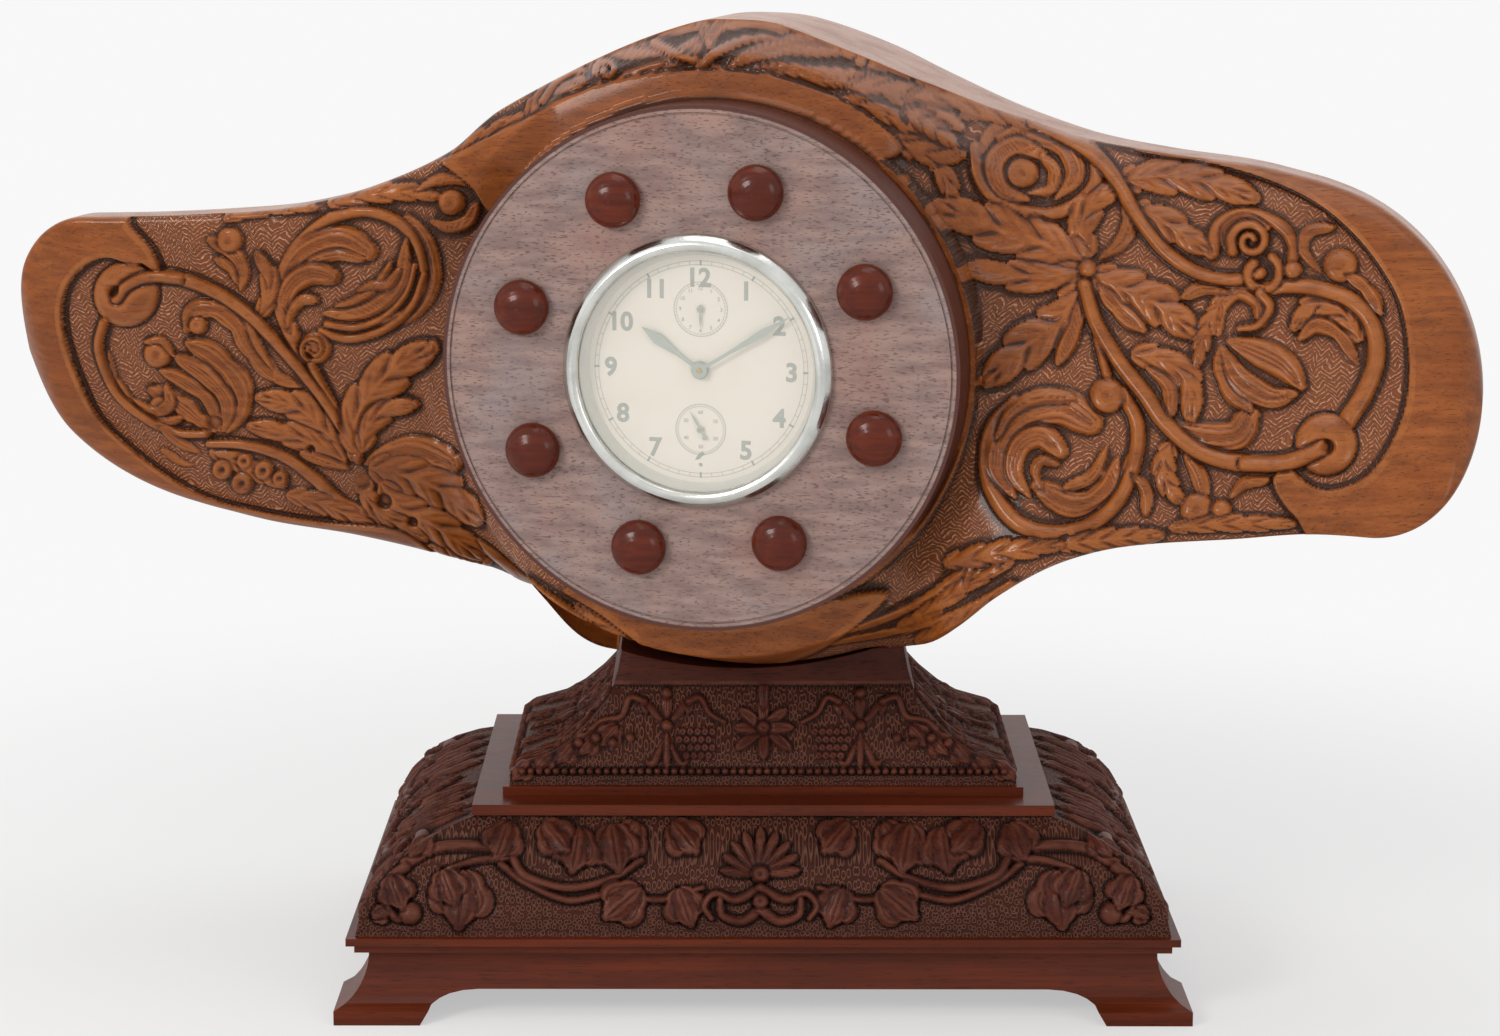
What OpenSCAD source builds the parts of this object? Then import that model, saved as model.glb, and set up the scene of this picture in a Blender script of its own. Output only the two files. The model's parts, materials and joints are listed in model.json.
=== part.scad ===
// Mantel clock made from the carved boss and cut blades of a wooden propeller, on a carved plinth.
// Origin: middle of the plinth on the table. X to the right, Y away from the viewer, Z up.

/* [Plinth] */
// Width of the moulded lip round the plinth
lip_w = 378; // [360:1:400]
// Depth of the moulded lip, front to back
lip_d = 234; // [224:1:250]
// Thickness of the moulded lip
lip_t = 3.5; // [3:0.5:5]
// Thickness of the fillet under the lip
fillet_t = 4; // [2:0.5:5]
// Setback of the fillet from the lip's edge
fillet_in = 3.5; // [2:0.5:6]
// Setback of the foot frame's top from the lip's edge
frame_in = 9.5; // [8:0.5:16]
// Height of the foot frame
frame_h = 31.5; // [30:0.5:40]
// Thickness of the foot frame's boards at the top
frame_t = 16; // [12:1:20]
// How far the bracket feet flare out beyond the frame's top
foot_flare = 15; // [10:0.5:20]
// Length of each bracket foot along the table
foot_len = 39; // [30:1:60]
// Height of the cut between the feet
apron_cut = 14; // [10:1:18]
// Height of the plain band above the flare
band_h = 1.5; // [1:0.5:4]
// Size of the glue blocks in the frame's corners
glue_block = 24; // [16:1:30]
// Height of the lower carved block
block_h = 49; // [40:1:60]
// Setback of the carved block's foot from the lip's edge
block_in = 4; // [2:0.5:8]
// Width of the cap board
cap_w = 267; // [250:1:290]
// Depth of the cap board
cap_d = 170; // [160:1:185]
// Thickness of the cap board
cap_t = 5; // [4:0.5:8]
// Setback of the carved block's top from the cap board's edge
cap_over = 3; // [1:0.5:6]

/* [Neck] */
// Width of the plain slab under the neck
slab_w = 241; // [230:1:250]
// Depth of the plain slab under the neck
slab_d = 136; // [128:1:145]
// Thickness of the plain slab
slab_t = 4; // [3:0.5:6]
// Width of the neck at its saddle
neck_w = 131; // [120:1:140]
// Depth of the neck at its saddle
neck_d = 84; // [76:1:96]
// Height of the neck block at its corners
neck_h = 61; // [56:1:66]
// Radius of the saddle that the boss lies in
saddle_r = 200; // [180:5:220]
// Height of the saddle's lowest point above the table
saddle_z = 148; // [146:0.5:150]

/* [Propeller] */
// Height of the boss's axis above the table
hub_z = 301; // [300:0.5:302]
// Turn of the boss about the vertical, seen from above
hub_yaw = 12.4; // [0:0.1:20]
// Boss face, in front of the plinth's middle
hub_front = 111; // [108:1:116]
// Boss back, behind the plinth's middle
hub_back = 60; // [56:1:70]
// Length of the right blade from the axis to its tip
blade_r = 333; // [320:1:345]
// Length of the left blade from the axis to its tip
blade_l = 333; // [320:1:345]
// Pitch of the blades' carved faces
blade_pitch = 28; // [20:1:34]
// Place of the blades' faces on the axis, in front of the plinth's middle
blade_front = 100; // [94:1:106]
// Radius of the boss's flat face round the fascia
band_r = 133; // [130:1:136]
// Growth of the boss's radius behind its face, per mm
boss_flare = 0.27; // [0.2:0.01:0.35]
// Circle of the boss's bolt holes
bolt_pcd = 165; // [160:0.5:170]
// Bore of each bolt hole in the boss
bolt_bore = 13; // [10:0.5:16]
// Number of bolt holes and caps
bolt_count = 8; // [6:1:10]
// Turn of the bolt holes from upright
bolt_turn = 26.6; // [0:0.1:45]
// Radius of the access opening in the boss's back
access_r = 52; // [44:1:56]
// Radius of the clock's recess behind the fascia
recess_r = 63; // [60:1:66]
// Depth of that recess
recess_t = 24; // [20:1:30]

/* [Fascia] */
// Diameter of the fascia disc
disc_d = 230; // [220:1:236]
// Thickness of the fascia disc
disc_t = 26; // [22:1:32]
// Side clearance of the fascia disc in the boss
disc_gap = 0.5; // [0.2:0.1:1]
// Width of the cut line round the fascia's edge
rim_line = 1; // [0.6:0.2:2]
// Distance of that line from the edge
rim_in = 3; // [2:0.5:6]
// Diameter of each domed cap
cap_dome_d = 24.5; // [18:0.5:26]
// Height of each domed cap
cap_dome_h = 10.5; // [7:0.5:12]
// Length of each cap's peg behind the fascia's face
peg_l = 60; // [40:1:80]

/* [Rear cover] */
// Radius of the rear cover
cover_r = 63; // [60:1:66]
// Thickness of the rear cover
cover_t = 9; // [6:0.5:12]
// Distance of the cover's pivot from the boss's axis
cover_pivot = 57; // [55:0.5:58]
// Diameter of the pivot screw's shank
pivot_d = 4; // [3:0.5:5]
// Diameter of the cover's turned knob
cover_knob_d = 14; // [10:1:18]

/* [Clock case] */
// Outer diameter of the bezel
bezel_d = 120; // [116:0.5:124]
// How far the bezel stands out of the fascia
bezel_h = 6; // [4:0.5:8]
// Outer diameter of the drum
drum_d = 108; // [106:0.5:110]
// Wall of the drum
drum_wall = 1; // [0.8:0.1:1.4]
// Length of the drum behind the fascia's face
drum_l = 40; // [38:0.5:42]
// Depth of the dial below the fascia's face
dial_in = 6; // [5:0.5:7]
// Thickness of the dial
dial_t = 0.8; // [0.6:0.1:1]
// Thickness of the glass
glass_t = 2; // [1.6:0.2:2.4]
// Radius of the dial's open face
face_r = 50; // [48:0.5:51]

/* [Hands] */
// Length of the hour hand
hour_l = 32; // [26:0.5:36]
// Length of the minute hand
minute_l = 47.5; // [40:0.5:48]
// Distance of the small dials from the dial's centre
sub_r = 26.4; // [26:0.1:26.8]
// Length of the seconds hand
second_l = 9; // [7:0.5:10]
// Length of the alarm hand
alarm_l = 8.5; // [7:0.5:10]

/* [Movement] */
// Radius of the movement's plates
plate_r = 48; // [48:0.5:50]
// Thickness of the movement's plates
plate_t = 2; // [1.6:0.1:2.2]
// Radius of the circle of pillars
pillar_pcr = 43; // [42.6:0.1:43.4]
// Running clearance round each arbor
run_gap = 0.05; // [0.03:0.01:0.08]

/* [Fasteners] */
// Diameter of the two bolts that hold the boss down
bolt_d = 8; // [6:1:10]
// Reach of those bolts into the boss
bolt_reach = 34; // [24:1:44]
// Distance between those bolts
bolt_span = 70; // [56:1:80]
// Diameter of the plinth screws
screw_d = 5; // [4:0.5:6]
// Length of the plinth screws
screw_l = 32; // [24:1:38]
// Clearance of a fixing in its hole, on the radius
hole_gap = 0.3; // [0.1:0.05:0.5]

/* [Hidden] */
$fn = 64;

eps = 0.01;
wood_dark = "#5a2416";
wood_red = "#7a3018";
wood_amber = "#a4602c";
steel = "#b8b8b4";
brass = "#c9a24a";

// Heights of the plinth's layers
lip_top = frame_h + fillet_t + lip_t;
block_top = lip_top + block_h;
cap_top = block_top + cap_t;
slab_top = cap_top + slab_t;
neck_top = slab_top + neck_h;
frame_w = lip_w - 2 * frame_in;
frame_d = lip_d - 2 * frame_in;

// Places on the boss's axis, counted towards the front from the plinth's middle
disc_front = hub_front + disc_t;
bezel_front = disc_front + bezel_h;
dial_face = disc_front - dial_in;
dial_back = dial_face - dial_t;
glass_back = bezel_front - 2.5 - glass_t;
drum_back = disc_front - drum_l;
motion_gap = 4.2;
plate_f = dial_back - motion_gap;
plate_fb = plate_f - plate_t;
plate_gap = 21;
plate_b = plate_fb - plate_gap;
plate_bb = plate_b - plate_t;
case_back_t = 1.5;
case_back_in = drum_back;
key_level = case_back_in - case_back_t - 12;
drum_r = drum_d / 2;
bezel_r = bezel_d / 2;

// Turns from the plinth's frame to the boss's frame, whose z looks out of the dial
module hub_frame() translate([0, 0, hub_z]) rotate([0, 0, -hub_yaw]) children();
module dial_frame(level, at = [0, 0])
  hub_frame() translate([at[0], -level, at[1]]) rotate([90, 0, 0]) children();
function polar(r, a) = [r * cos(a), r * sin(a)];

// A ring or disc on the dial's frame, between two levels
module ring_at(outer, inner, back, front, at = [0, 0])
  dial_frame(back, at) linear_extrude(front - back) difference() {
    circle(outer);
    if (inner > 0) circle(inner);
  }

// Smooth curve through hand-chosen points [x, y]
function seg(t, x, i = 0) = (i >= len(t) - 2 || x < t[i + 1][0]) ? i : seg(t, x, i + 1);
function slope(t, i) = i <= 0 ? (t[1][1] - t[0][1]) / (t[1][0] - t[0][0])
  : i >= len(t) - 1 ? (t[i][1] - t[i - 1][1]) / (t[i][0] - t[i - 1][0])
  : (t[i + 1][1] - t[i - 1][1]) / (t[i + 1][0] - t[i - 1][0]);
function smooth(t, x) = let(i = seg(t, x), h = t[i + 1][0] - t[i][0], s = (x - t[i][0]) / h)
  (2 * s ^ 3 - 3 * s ^ 2 + 1) * t[i][1] + (s ^ 3 - 2 * s ^ 2 + s) * h * slope(t, i)
  + (3 * s ^ 2 - 2 * s ^ 3) * t[i + 1][1] + (s ^ 3 - s ^ 2) * h * slope(t, i + 1);
function clamp01(x) = min(1, max(0, x));
function ease(a, b, x) = let(s = clamp01((x - a) / (b - a))) s * s * (3 - 2 * s);

// The propeller's upper and lower outline as [distance along the blades, height from the axis]
top_edge = [[-333, 58], [-270, 59], [-230, 61], [-190, 65], [-150, 76], [-118, 91], [-98, 109],
  [-59, 131], [-20, 146], [0, 147.5], [20, 145.5], [55, 134], [85, 121], [118, 106], [150, 96],
  [190, 90], [230, 86], [270, 78.5], [333, 74]];
bottom_edge = [[-333, -82], [-270, -86], [-230, -95], [-190, -101], [-150, -111], [-131, -120],
  [-109, -135], [-85, -148], [-60, -154], [0, -158], [60, -145.5], [90, -130], [113, -112],
  [130, -97], [150, -84], [170, -76], [190, -71.5], [230, -67], [270, -63], [333, -66]];
// Thickness of the blades along their length
thickness = [[0, 182], [60, 182], [100, 156], [150, 104], [200, 78], [260, 58], [333, 42]];
tip_round_high = 78;
tip_z = -9;
tip_round_low = 45;
hub_blend = [70, 150];
tip_bevel = [14, 11];
stations = 18;
around = 28;

// Rounded tips: each edge closes in over its own length
function closing(len_left, e) = e <= 0 ? 1 : sqrt(max(0, 1 - ((e - len_left) / e) ^ 2));
function tip_factor(r, e) = let(left = (r > 0 ? blade_r : blade_l) - abs(r)) left >= e ? 1 : closing(left, e);
function stretch(r) = r > 0 ? r * 333 / blade_r : r * 333 / blade_l;
function top_z(r) = mix(tip_z, smooth(top_edge, stretch(r)), tip_factor(r, r > 0 ? tip_round_high : tip_round_low));
function low_z(r) = mix(tip_z, smooth(bottom_edge, stretch(r)), tip_factor(r, r > 0 ? tip_round_low : tip_round_high));
function hubness(r) = 1 - ease(hub_blend[0], hub_blend[1], abs(r));
function thick(r) = smooth(thickness, abs(stretch(r)));
// The carved face: the boss's flat face turning into the pitched face of a blade
function face_at(r, z) = let(w = hubness(r), side = r > 0 ? 1 : -1)
  w * (hub_front + 0.6) + (1 - w) * (blade_front - side * tan(blade_pitch) * z);
// The boss narrows to its face; the cone fades out sooner along the edges that come forward
function cone_at(r, z, face) = let(leading = r * z < 0, far = leading ? [50, 110] : [90, 150],
    w = 1 - ease(far[0], far[1], abs(r)), over = max(0, sqrt(r * r + z * z) - band_r))
  w * min(face, hub_front + 0.6 - over / boss_flare) + (1 - w) * face;
function bevel(r) = let(left = (r > 0 ? blade_r : blade_l) - abs(r))
  tip_bevel[1] * (1 - clamp01(left / tip_bevel[0])) ^ 2;
function mix(a, b, w) = a * (1 - w) + b * w;
function section_point(r, a) =
  let(hi = top_z(r), lo = low_z(r), z = (hi + lo) / 2 + (hi - lo) / 2 * cos(a), t = thick(r),
      w = hubness(r), s = abs(sin(a)), face = face_at(r, z), mid = face - t / 2,
      fore = cone_at(r, z, mid + t / 2 * s ^ mix(0.16, 0.08, w)) - bevel(r),
      aft = mid - t / 2 * s ^ mix(0.6, 0.3, w))
  [r, -(a < 180 ? max(fore, (mid + aft) / 2) : aft), z];

function station(k) = (k > 0 ? blade_r : blade_l) * 0.9985 * sin(90 * k / stations);
module propeller_form() {
  pts = [for (k = [-stations : stations], j = [0 : around - 1])
    section_point(station(k), 360 * (j + 0.5) / around)];
  rings = 2 * stations + 1;
  sides = [for (k = [0 : rings - 2], j = [0 : around - 1], half = [0, 1])
    let(a = k * around + j, b = k * around + (j + 1) % around, c = a + around, d = b + around)
      half == 0 ? [a, c, b] : [b, c, d]];
  ends = [[for (j = [0 : around - 1]) j], [for (j = [around - 1 : -1 : 0]) (rings - 1) * around + j]];
  polyhedron(pts, concat(sides, ends), convexity = 8);
}

// Plinth

// Cross-section of a frame board: plain band above, hollow flare below, upright toe
toe_h = 6.5;
function flare_x(z) = let(s = clamp01((frame_h - band_h - z) / (frame_h - band_h - toe_h)))
  foot_flare * (1 - sqrt(max(0, 1 - s * s * 0.96))) / (1 - sqrt(0.04));
module frame_profile(half) polygon(concat(
  [[half - frame_t, 0], [half + foot_flare, 0]],
  [for (k = [0 : 10]) let(z = toe_h + (frame_h - band_h - toe_h) * k / 10) [half + flare_x(z), z]],
  [[half, frame_h], [half - frame_t, frame_h]]));

// One board with its outer face at half, mitred at both ends, with the opening between its feet
module frame_board(half, other) difference() {
  intersection() {
    rotate([90, 0, 90]) translate([0, 0, -other - foot_flare]) linear_extrude(2 * (other + foot_flare))
      frame_profile(half);
    linear_extrude(frame_h) polygon([
      [other + foot_flare, half + foot_flare], [-other - foot_flare, half + foot_flare],
      [frame_t - other, half - frame_t], [other - frame_t, half - frame_t]]);
  }
  foot_cut(other + foot_flare - foot_len, half);
}
// End of the opening as [distance from the foot, share of the cut's height]
arch = [[0, 0], [5, 0.61], [8.5, 0.76], [13, 0.88], [19, 0.965], [26, 1]];
module foot_cut(open, half) translate([0, half + foot_flare + 1, 0]) rotate([90, 0, 0])
  linear_extrude(foot_flare + frame_t + 2) polygon(concat(
    [for (p = arch) [open - p[0], p[1] * apron_cut]],
    [for (k = [len(arch) - 1 : -1 : 0]) [arch[k][0] - open, arch[k][1] * apron_cut]],
    [[-open, -1], [open, -1]]));
module foot_frame_front() color(wood_red) rotate([0, 0, 180]) frame_board(frame_d / 2, frame_w / 2);
module foot_frame_rear() color(wood_red) frame_board(frame_d / 2, frame_w / 2);
module foot_frame_sides() color(wood_red) for (turn = [90, -90]) rotate([0, 0, turn])
  frame_board(frame_w / 2, frame_d / 2);
module glue_blocks() color(wood_red) for (sx = [-1, 1], sy = [-1, 1]) scale([sx, sy, 1])
  translate([frame_w / 2 - frame_t, frame_d / 2 - frame_t, apron_cut]) linear_extrude(frame_h - apron_cut)
    polygon([[0, 0], [-glue_block, 0], [0, -glue_block]]);

module slab(w, d, z0, z1) translate([-w / 2, -d / 2, z0]) cube([w, d, z1 - z0]);
module bolt_holes(z0, z1, r) for (s = [-1, 1])
  translate([s * bolt_span / 2, 0, z0]) cylinder(r = r, h = z1 - z0);
module screw_places() for (sx = [-1, 1], sy = [-1, 1])
  translate([sx * (cap_w / 2 - 20), sy * (cap_d / 2 - 18), 0]) children();

module plinth_board() color(wood_red) difference() {
  union() {
    slab(lip_w - 2 * fillet_in, lip_d - 2 * fillet_in, frame_h, frame_h + fillet_t);
    slab(lip_w, lip_d, frame_h + fillet_t, lip_top);
  }
  bolt_holes(0, lip_top + 1, bolt_d / 2 + hole_gap);
  screw_places() {
    cylinder(r = screw_d / 2 + hole_gap, h = lip_top + 1);
    translate([0, 0, frame_h - eps]) cylinder(r1 = screw_d + hole_gap, r2 = screw_d / 2 + hole_gap, h = screw_d / 2);
  }
}

// Half profiles of the carved masses as [setback share of the whole slope, share of the height]
block_bulge = [[0, 0], [0.04, 0.2], [0.14, 0.42], [0.31, 0.64], [0.55, 0.82], [0.78, 0.93], [1, 1]];
module half_profile(foot, head, z0, z1, shape) polygon(concat(
  [for (p = shape) [foot - (foot - head) * p[0], z0 + (z1 - z0) * p[1]]],
  [for (k = [len(shape) - 1 : -1 : 0]) let(p = shape[k]) [-foot + (foot - head) * p[0], z0 + (z1 - z0) * p[1]]]));
module mass(foot, head, z0, z1, shape_x, shape_y) intersection() {
  translate([0, foot[1] + 1, 0]) rotate([90, 0, 0]) linear_extrude(2 * foot[1] + 2)
    half_profile(foot[0], head[0], z0, z1, shape_x);
  translate([-foot[0] - 1, 0, 0]) rotate([90, 0, 90]) linear_extrude(2 * foot[0] + 2)
    half_profile(foot[1], head[1], z0, z1, shape_y);
}
// Carving of the block: a ground sunk by the first value and vines rising by the second
block_sunk = 1.2;
block_rise = 1.1;
// One half of the vine on the front, as [half width at the start, at the end, points in width and height]
vines = [
  [1.6, 2.2, [[-26, 60], [-47, 55.5], [-69, 58], [-89, 56], [-108, 64], [-119, 71]]],
  [2, 2.8, [[-56, 72], [-69, 64], [-89, 61], [-108, 66], [-117, 75], [-134, 77.5], [-150, 76], [-162, 70],
    [-168, 62], [-169, 53]]],
  [2, 1.5, [[0, 57], [-10, 53], [-20, 56], [-25, 51]]]];
vine_leaves = [
  [7, [[-46, 85], [-50, 79], [-52, 73]]], [8, [[-75, 85], [-77, 76], [-76, 67]]],
  [7, [[-107, 85], [-110, 79], [-111, 73]]], [10, [[-136, 70], [-136, 57], [-133, 44]]],
  [6, [[-148, 70], [-151, 61], [-152, 52]]], [8, [[-56, 62], [-48, 55], [-41, 47]]],
  [5, [[-165, 84], [-170, 79], [-172, 73]]], [5, [[-154, 84], [-149, 79], [-146, 73]]]];
palmette = [[-3, 62], [-11, 64], [-19, 68], [-20, 74], [-15, 80], [-8, 83], [0, 84.5]];
corner_curl = [-160, 49.5, 5];
module block_vine() for (s = [-1, 1]) scale([s, 1]) {
  for (v = vines) scroll(v);
  for (l = vine_leaves) leaf(l);
  polygon(concat(palmette, [[0, 60]]));
  translate([corner_curl[0], corner_curl[1]]) circle(corner_curl[2]);
}
module block_mass(grow) mass([lip_w / 2 - block_in + grow, lip_d / 2 - block_in + grow],
  [cap_w / 2 - cap_over + grow, cap_d / 2 - cap_over + grow], lip_top, block_top, block_bulge, block_bulge);
vine_reach = 50;
module carved_block() color(wood_dark) difference() {
  union() {
    block_mass(-block_sunk);
    intersection() {
      block_mass(block_rise);
      for (turn = [0 : 90 : 270]) rotate([0, 0, turn]) let(wide = turn % 180 == 0)
        translate([0, wide ? -vine_reach : -2 * vine_reach, 0]) rotate([90, 0, 0]) linear_extrude(2 * vine_reach)
          scale([wide ? 1 : lip_d / lip_w, 1]) block_vine();
    }
  }
  bolt_holes(lip_top - 1, block_top + 1, bolt_d / 2 + hole_gap);
  screw_places() translate([0, 0, lip_top - 1]) cylinder(r = screw_d / 2 + eps, h = screw_depth() + 1);
}
function screw_depth() = frame_h + screw_l - lip_top;
module cap_board() color(wood_red) difference() {
  slab(cap_w, cap_d, block_top, cap_top);
  bolt_holes(block_top - 1, cap_top + 1, bolt_d / 2 + hole_gap);
}
module neck_slab() color(wood_red) difference() {
  slab(slab_w, slab_d, cap_top, slab_top);
  bolt_holes(cap_top - 1, slab_top + 1, bolt_d / 2 + hole_gap);
}

// The neck: upright edge, then a hollow sweep up to the saddle
neck_hollow = [[0, 0], [0.01, 0.11], [0.1, 0.17], [0.4, 0.25], [0.58, 0.35], [0.77, 0.5], [0.88, 0.61],
  [0.96, 0.82], [1, 1]];
neck_dish = [[0, 0], [0.01, 0.11], [0.17, 0.25], [0.5, 0.46], [0.8, 0.7], [0.95, 0.9], [1, 1]];
slab_in = 3;
module saddle(r, z0) hub_frame() translate([0, 150, z0 + saddle_r - hub_z]) rotate([90, 0, 0])
  cylinder(r = r, h = 400, $fn = 128);
module neck_envelope() mass([slab_w / 2 - slab_in, slab_d / 2 - slab_in], [neck_w / 2, neck_d / 2],
  slab_top, neck_top, neck_hollow, neck_dish);
module neck_block() color(wood_dark) difference() {
  neck_envelope();
  saddle(saddle_r, saddle_z);
  bolt_holes(slab_top - 1, neck_top + 1, bolt_d / 2 + hole_gap);
}
module plinth_screws() color(steel) screw_places() translate([0, 0, frame_h]) {
  cylinder(r1 = screw_d, r2 = screw_d / 2, h = screw_d / 2);
  cylinder(r = screw_d / 2, h = screw_l - 1);
}
washer_t = 2;
bolt_head_t = 5.5;
module boss_bolts() color(steel) for (s = [-1, 1]) translate([s * bolt_span / 2, 0, 0]) {
  translate([0, 0, frame_h - washer_t - bolt_head_t]) cylinder(r = bolt_d * 0.92, h = bolt_head_t, $fn = 6);
  translate([0, 0, frame_h - washer_t - eps]) cylinder(r = bolt_d / 2, h = bolt_top() - frame_h + washer_t);
}
function bolt_top() = saddle_z + bolt_reach;
module boss_bolt_washers() color(steel) for (s = [-1, 1])
  translate([s * bolt_span / 2, 0, frame_h - washer_t]) difference() {
    cylinder(r = bolt_d * 1.3, h = washer_t);
    translate([0, 0, -1]) cylinder(r = bolt_d / 2 + hole_gap, h = washer_t + 2);
  }

// Propeller, fascia and rear cover

module bolt_circle() for (k = [0 : bolt_count - 1])
  let(a = bolt_turn + 360 * k / bolt_count) translate(polar(bolt_pcd / 2, a)) children();
// Carving of the blades: a sunk ground with scrolls, leaves and bosses left standing at the old face
carve_d = 4.6;
// Outline of each sunk ground as [distance along the blades, height from the axis]
ground_left = [[-127, -106], [-168, -95], [-206, -93], [-237, -89], [-260, -82], [-277, -71], [-292, -56],
  [-304, -40], [-309, -20], [-309, 0], [-307, 15], [-300, 28], [-289, 36], [-268, 34], [-255, 32], [-257, 44],
  [-262, 55], [-239, 57], [-203, 59], [-172, 66], [-146, 70], [-112, 46], [-121, 0], [-112, -46], [-90, -81]];
ground_right = [[100, 68], [86, 86], [98, 108], [130, 98], [178, 88], [209, 84], [235, 80], [257, 72], [274, 60],
  [288, 45], [297, 30], [302, 10], [301, -9], [296, -24], [287, -37], [266, -44], [249, -38], [252, -50],
  [258, -56], [237, -60], [188, -66], [156, -75], [131, -84], [112, -90], [104, -62], [121, 0]];
// Scrolls of each blade as [half width where they start, half width where they end, points]
scrolls_left = [
  [3.4, 2.4, [[-279, 20], [-271, 27], [-260, 31], [-246, 31], [-229, 24], [-208, 2], [-189, -27], [-179, -58]]],
  [1.6, 3.4, [[-154, 14], [-138, 22], [-130, 36], [-132, 50], [-139, 61], [-152, 65], [-166, 62], [-177, 57],
    [-189, 46], [-197, 34], [-201, 20], [-199, 7], [-192, -8], [-184, -38], [-179, -58]]],
  [2.3, 1.8, [[-289, 8], [-294, -4], [-294, -17], [-291, -29], [-281, -40], [-268, -48], [-252, -48]]],
  [2, 3.4, [[-251, -53], [-234, -53], [-216, -58], [-203, -69], [-191, -84], [-171, -91]]]];
scrolls_right = [
  [3.3, 4.4, [[160, 35], [167, 20], [178, 4], [191, -9], [200, -20], [215, -31], [235, -35], [253, -34], [267, -27]]],
  [4.4, 3.3, [[277, -17], [284, -5], [288, 9], [285, 23], [275, 32], [261, 36], [238, 38]]],
  [3, 3.6, [[236, 38], [225, 38], [210, 41], [196, 49], [185, 59], [177, 69], [172, 77], [158, 90], [138, 100]]],
  [3, 3.7, [[181, -8], [188, -20], [188, -36], [182, -51], [170, -63], [154, -66], [138, -62], [127, -51],
    [124, -37], [126, -24], [135, -15]]],
  [2.4, 3.1, [[110, 93], [113, 81], [122, 70], [137, 64], [152, 67], [161, 78], [158, 90]]],
  [2.6, 3.3, [[248, 42], [249, 53], [241, 62], [228, 65], [217, 60], [215, 51]]]];
// Leaves as [half width, points from the stem to the tip]
leaves_left = [
  [5, [[-181, 17], [-167, 18], [-151, 24], [-140, 35], [-135, 48]]],
  [4.5, [[-196, 25], [-190, 36], [-180, 45], [-166, 49], [-155, 44]]],
  [7, [[-179, -58], [-175, -38], [-164, -23], [-150, -11], [-135, -2]]],
  [5, [[-179, -60], [-164, -56], [-150, -53], [-134, -58]]],
  [7, [[-177, -60], [-158, -65], [-140, -73], [-128, -86]]],
  [5.5, [[-176, -62], [-164, -83], [-150, -91], [-140, -95]]],
  [5, [[-182, -57], [-193, -44], [-203, -33], [-218, -30]]],
  [5, [[-200, -21], [-211, -15], [-218, -4], [-223, 8], [-231, 17], [-244, 14]]],
  [6, [[-243, -46], [-233, -33], [-232, -19], [-241, -8], [-252, -2]]],
  [5, [[-245, -46], [-252, -38], [-260, -30], [-271, -25]]],
  [4, [[-219, 25], [-217, 35], [-220, 43], [-229, 50]]]];
leaves_right = [
  [5, [[137, -50], [131, -39], [133, -29], [142, -21], [155, -18], [166, -22]]],
  [5.5, [[181, -37], [176, -47], [163, -52], [147, -48]]],
  [8, [[163, 43], [142, 50], [121, 58], [104, 67]]],
  [5.5, [[163, 42], [146, 39], [130, 40], [114, 43]]],
  [7, [[161, 36], [152, 19], [139, 11], [124, -1]]],
  [7.5, [[161, 40], [177, 34], [193, 27], [206, 18]]],
  [5, [[162, 44], [158, 57], [162, 66], [170, 74]]],
  [5.5, [[171, 77], [187, 78], [207, 77], [226, 73]]],
  [5, [[178, 67], [192, 61], [211, 52]]],
  [4.5, [[183, 3], [198, 2], [207, -6], [209, -16]]],
  [5, [[221, 13], [224, 0], [235, -12]]],
  [6, [[221, 15], [235, 11], [248, 5], [257, -3]]],
  [4.5, [[280, 18], [271, 26], [260, 27], [253, 21]]]];
// Bosses as [distance along the blades, height from the axis, radius]
bosses_left = [[-275, 22, 16], [-189, -2, 7.5], [-219, 49, 5.5], [-265, -7, 6.5], [-238, -67, 9]];
bosses_right = [[269, -26, 15], [128, 82, 7.5], [231, 54, 7.5], [174, -10, 7.5], [216, -52, 6.5], [270, 46, 7.5]];
ground_rows = around / 2;

// A strip along points, with a half width given at each point
function along(p, i) = let(d = p[min(i + 1, len(p) - 1)] - p[max(i - 1, 0)]) [-d[1], d[0]] / norm(d);
module strip(p, w) polygon(concat([for (i = [0 : len(p) - 1]) p[i] + w[i] * along(p, i)],
  [for (i = [len(p) - 1 : -1 : 0]) p[i] - w[i] * along(p, i)]));
module scroll(s) strip(s[2], [for (i = [0 : len(s[2]) - 1]) mix(s[0], s[1], i / (len(s[2]) - 1))]);
leaf_ends = [0.3, 0.12];
module leaf(l) strip(l[1], [for (i = [0 : len(l[1]) - 1]) let(s = i / (len(l[1]) - 1))
  l[0] * max(mix(leaf_ends[0], leaf_ends[1], s), sin(180 * s ^ 0.8))]);
module sunk_ground(outline, scrolls, leaves, bosses) difference() {
  polygon(outline);
  for (s = scrolls) scroll(s);
  for (l = leaves) leaf(l);
  for (b = bosses) translate([b[0], b[1]]) circle(b[2]);
}
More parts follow.
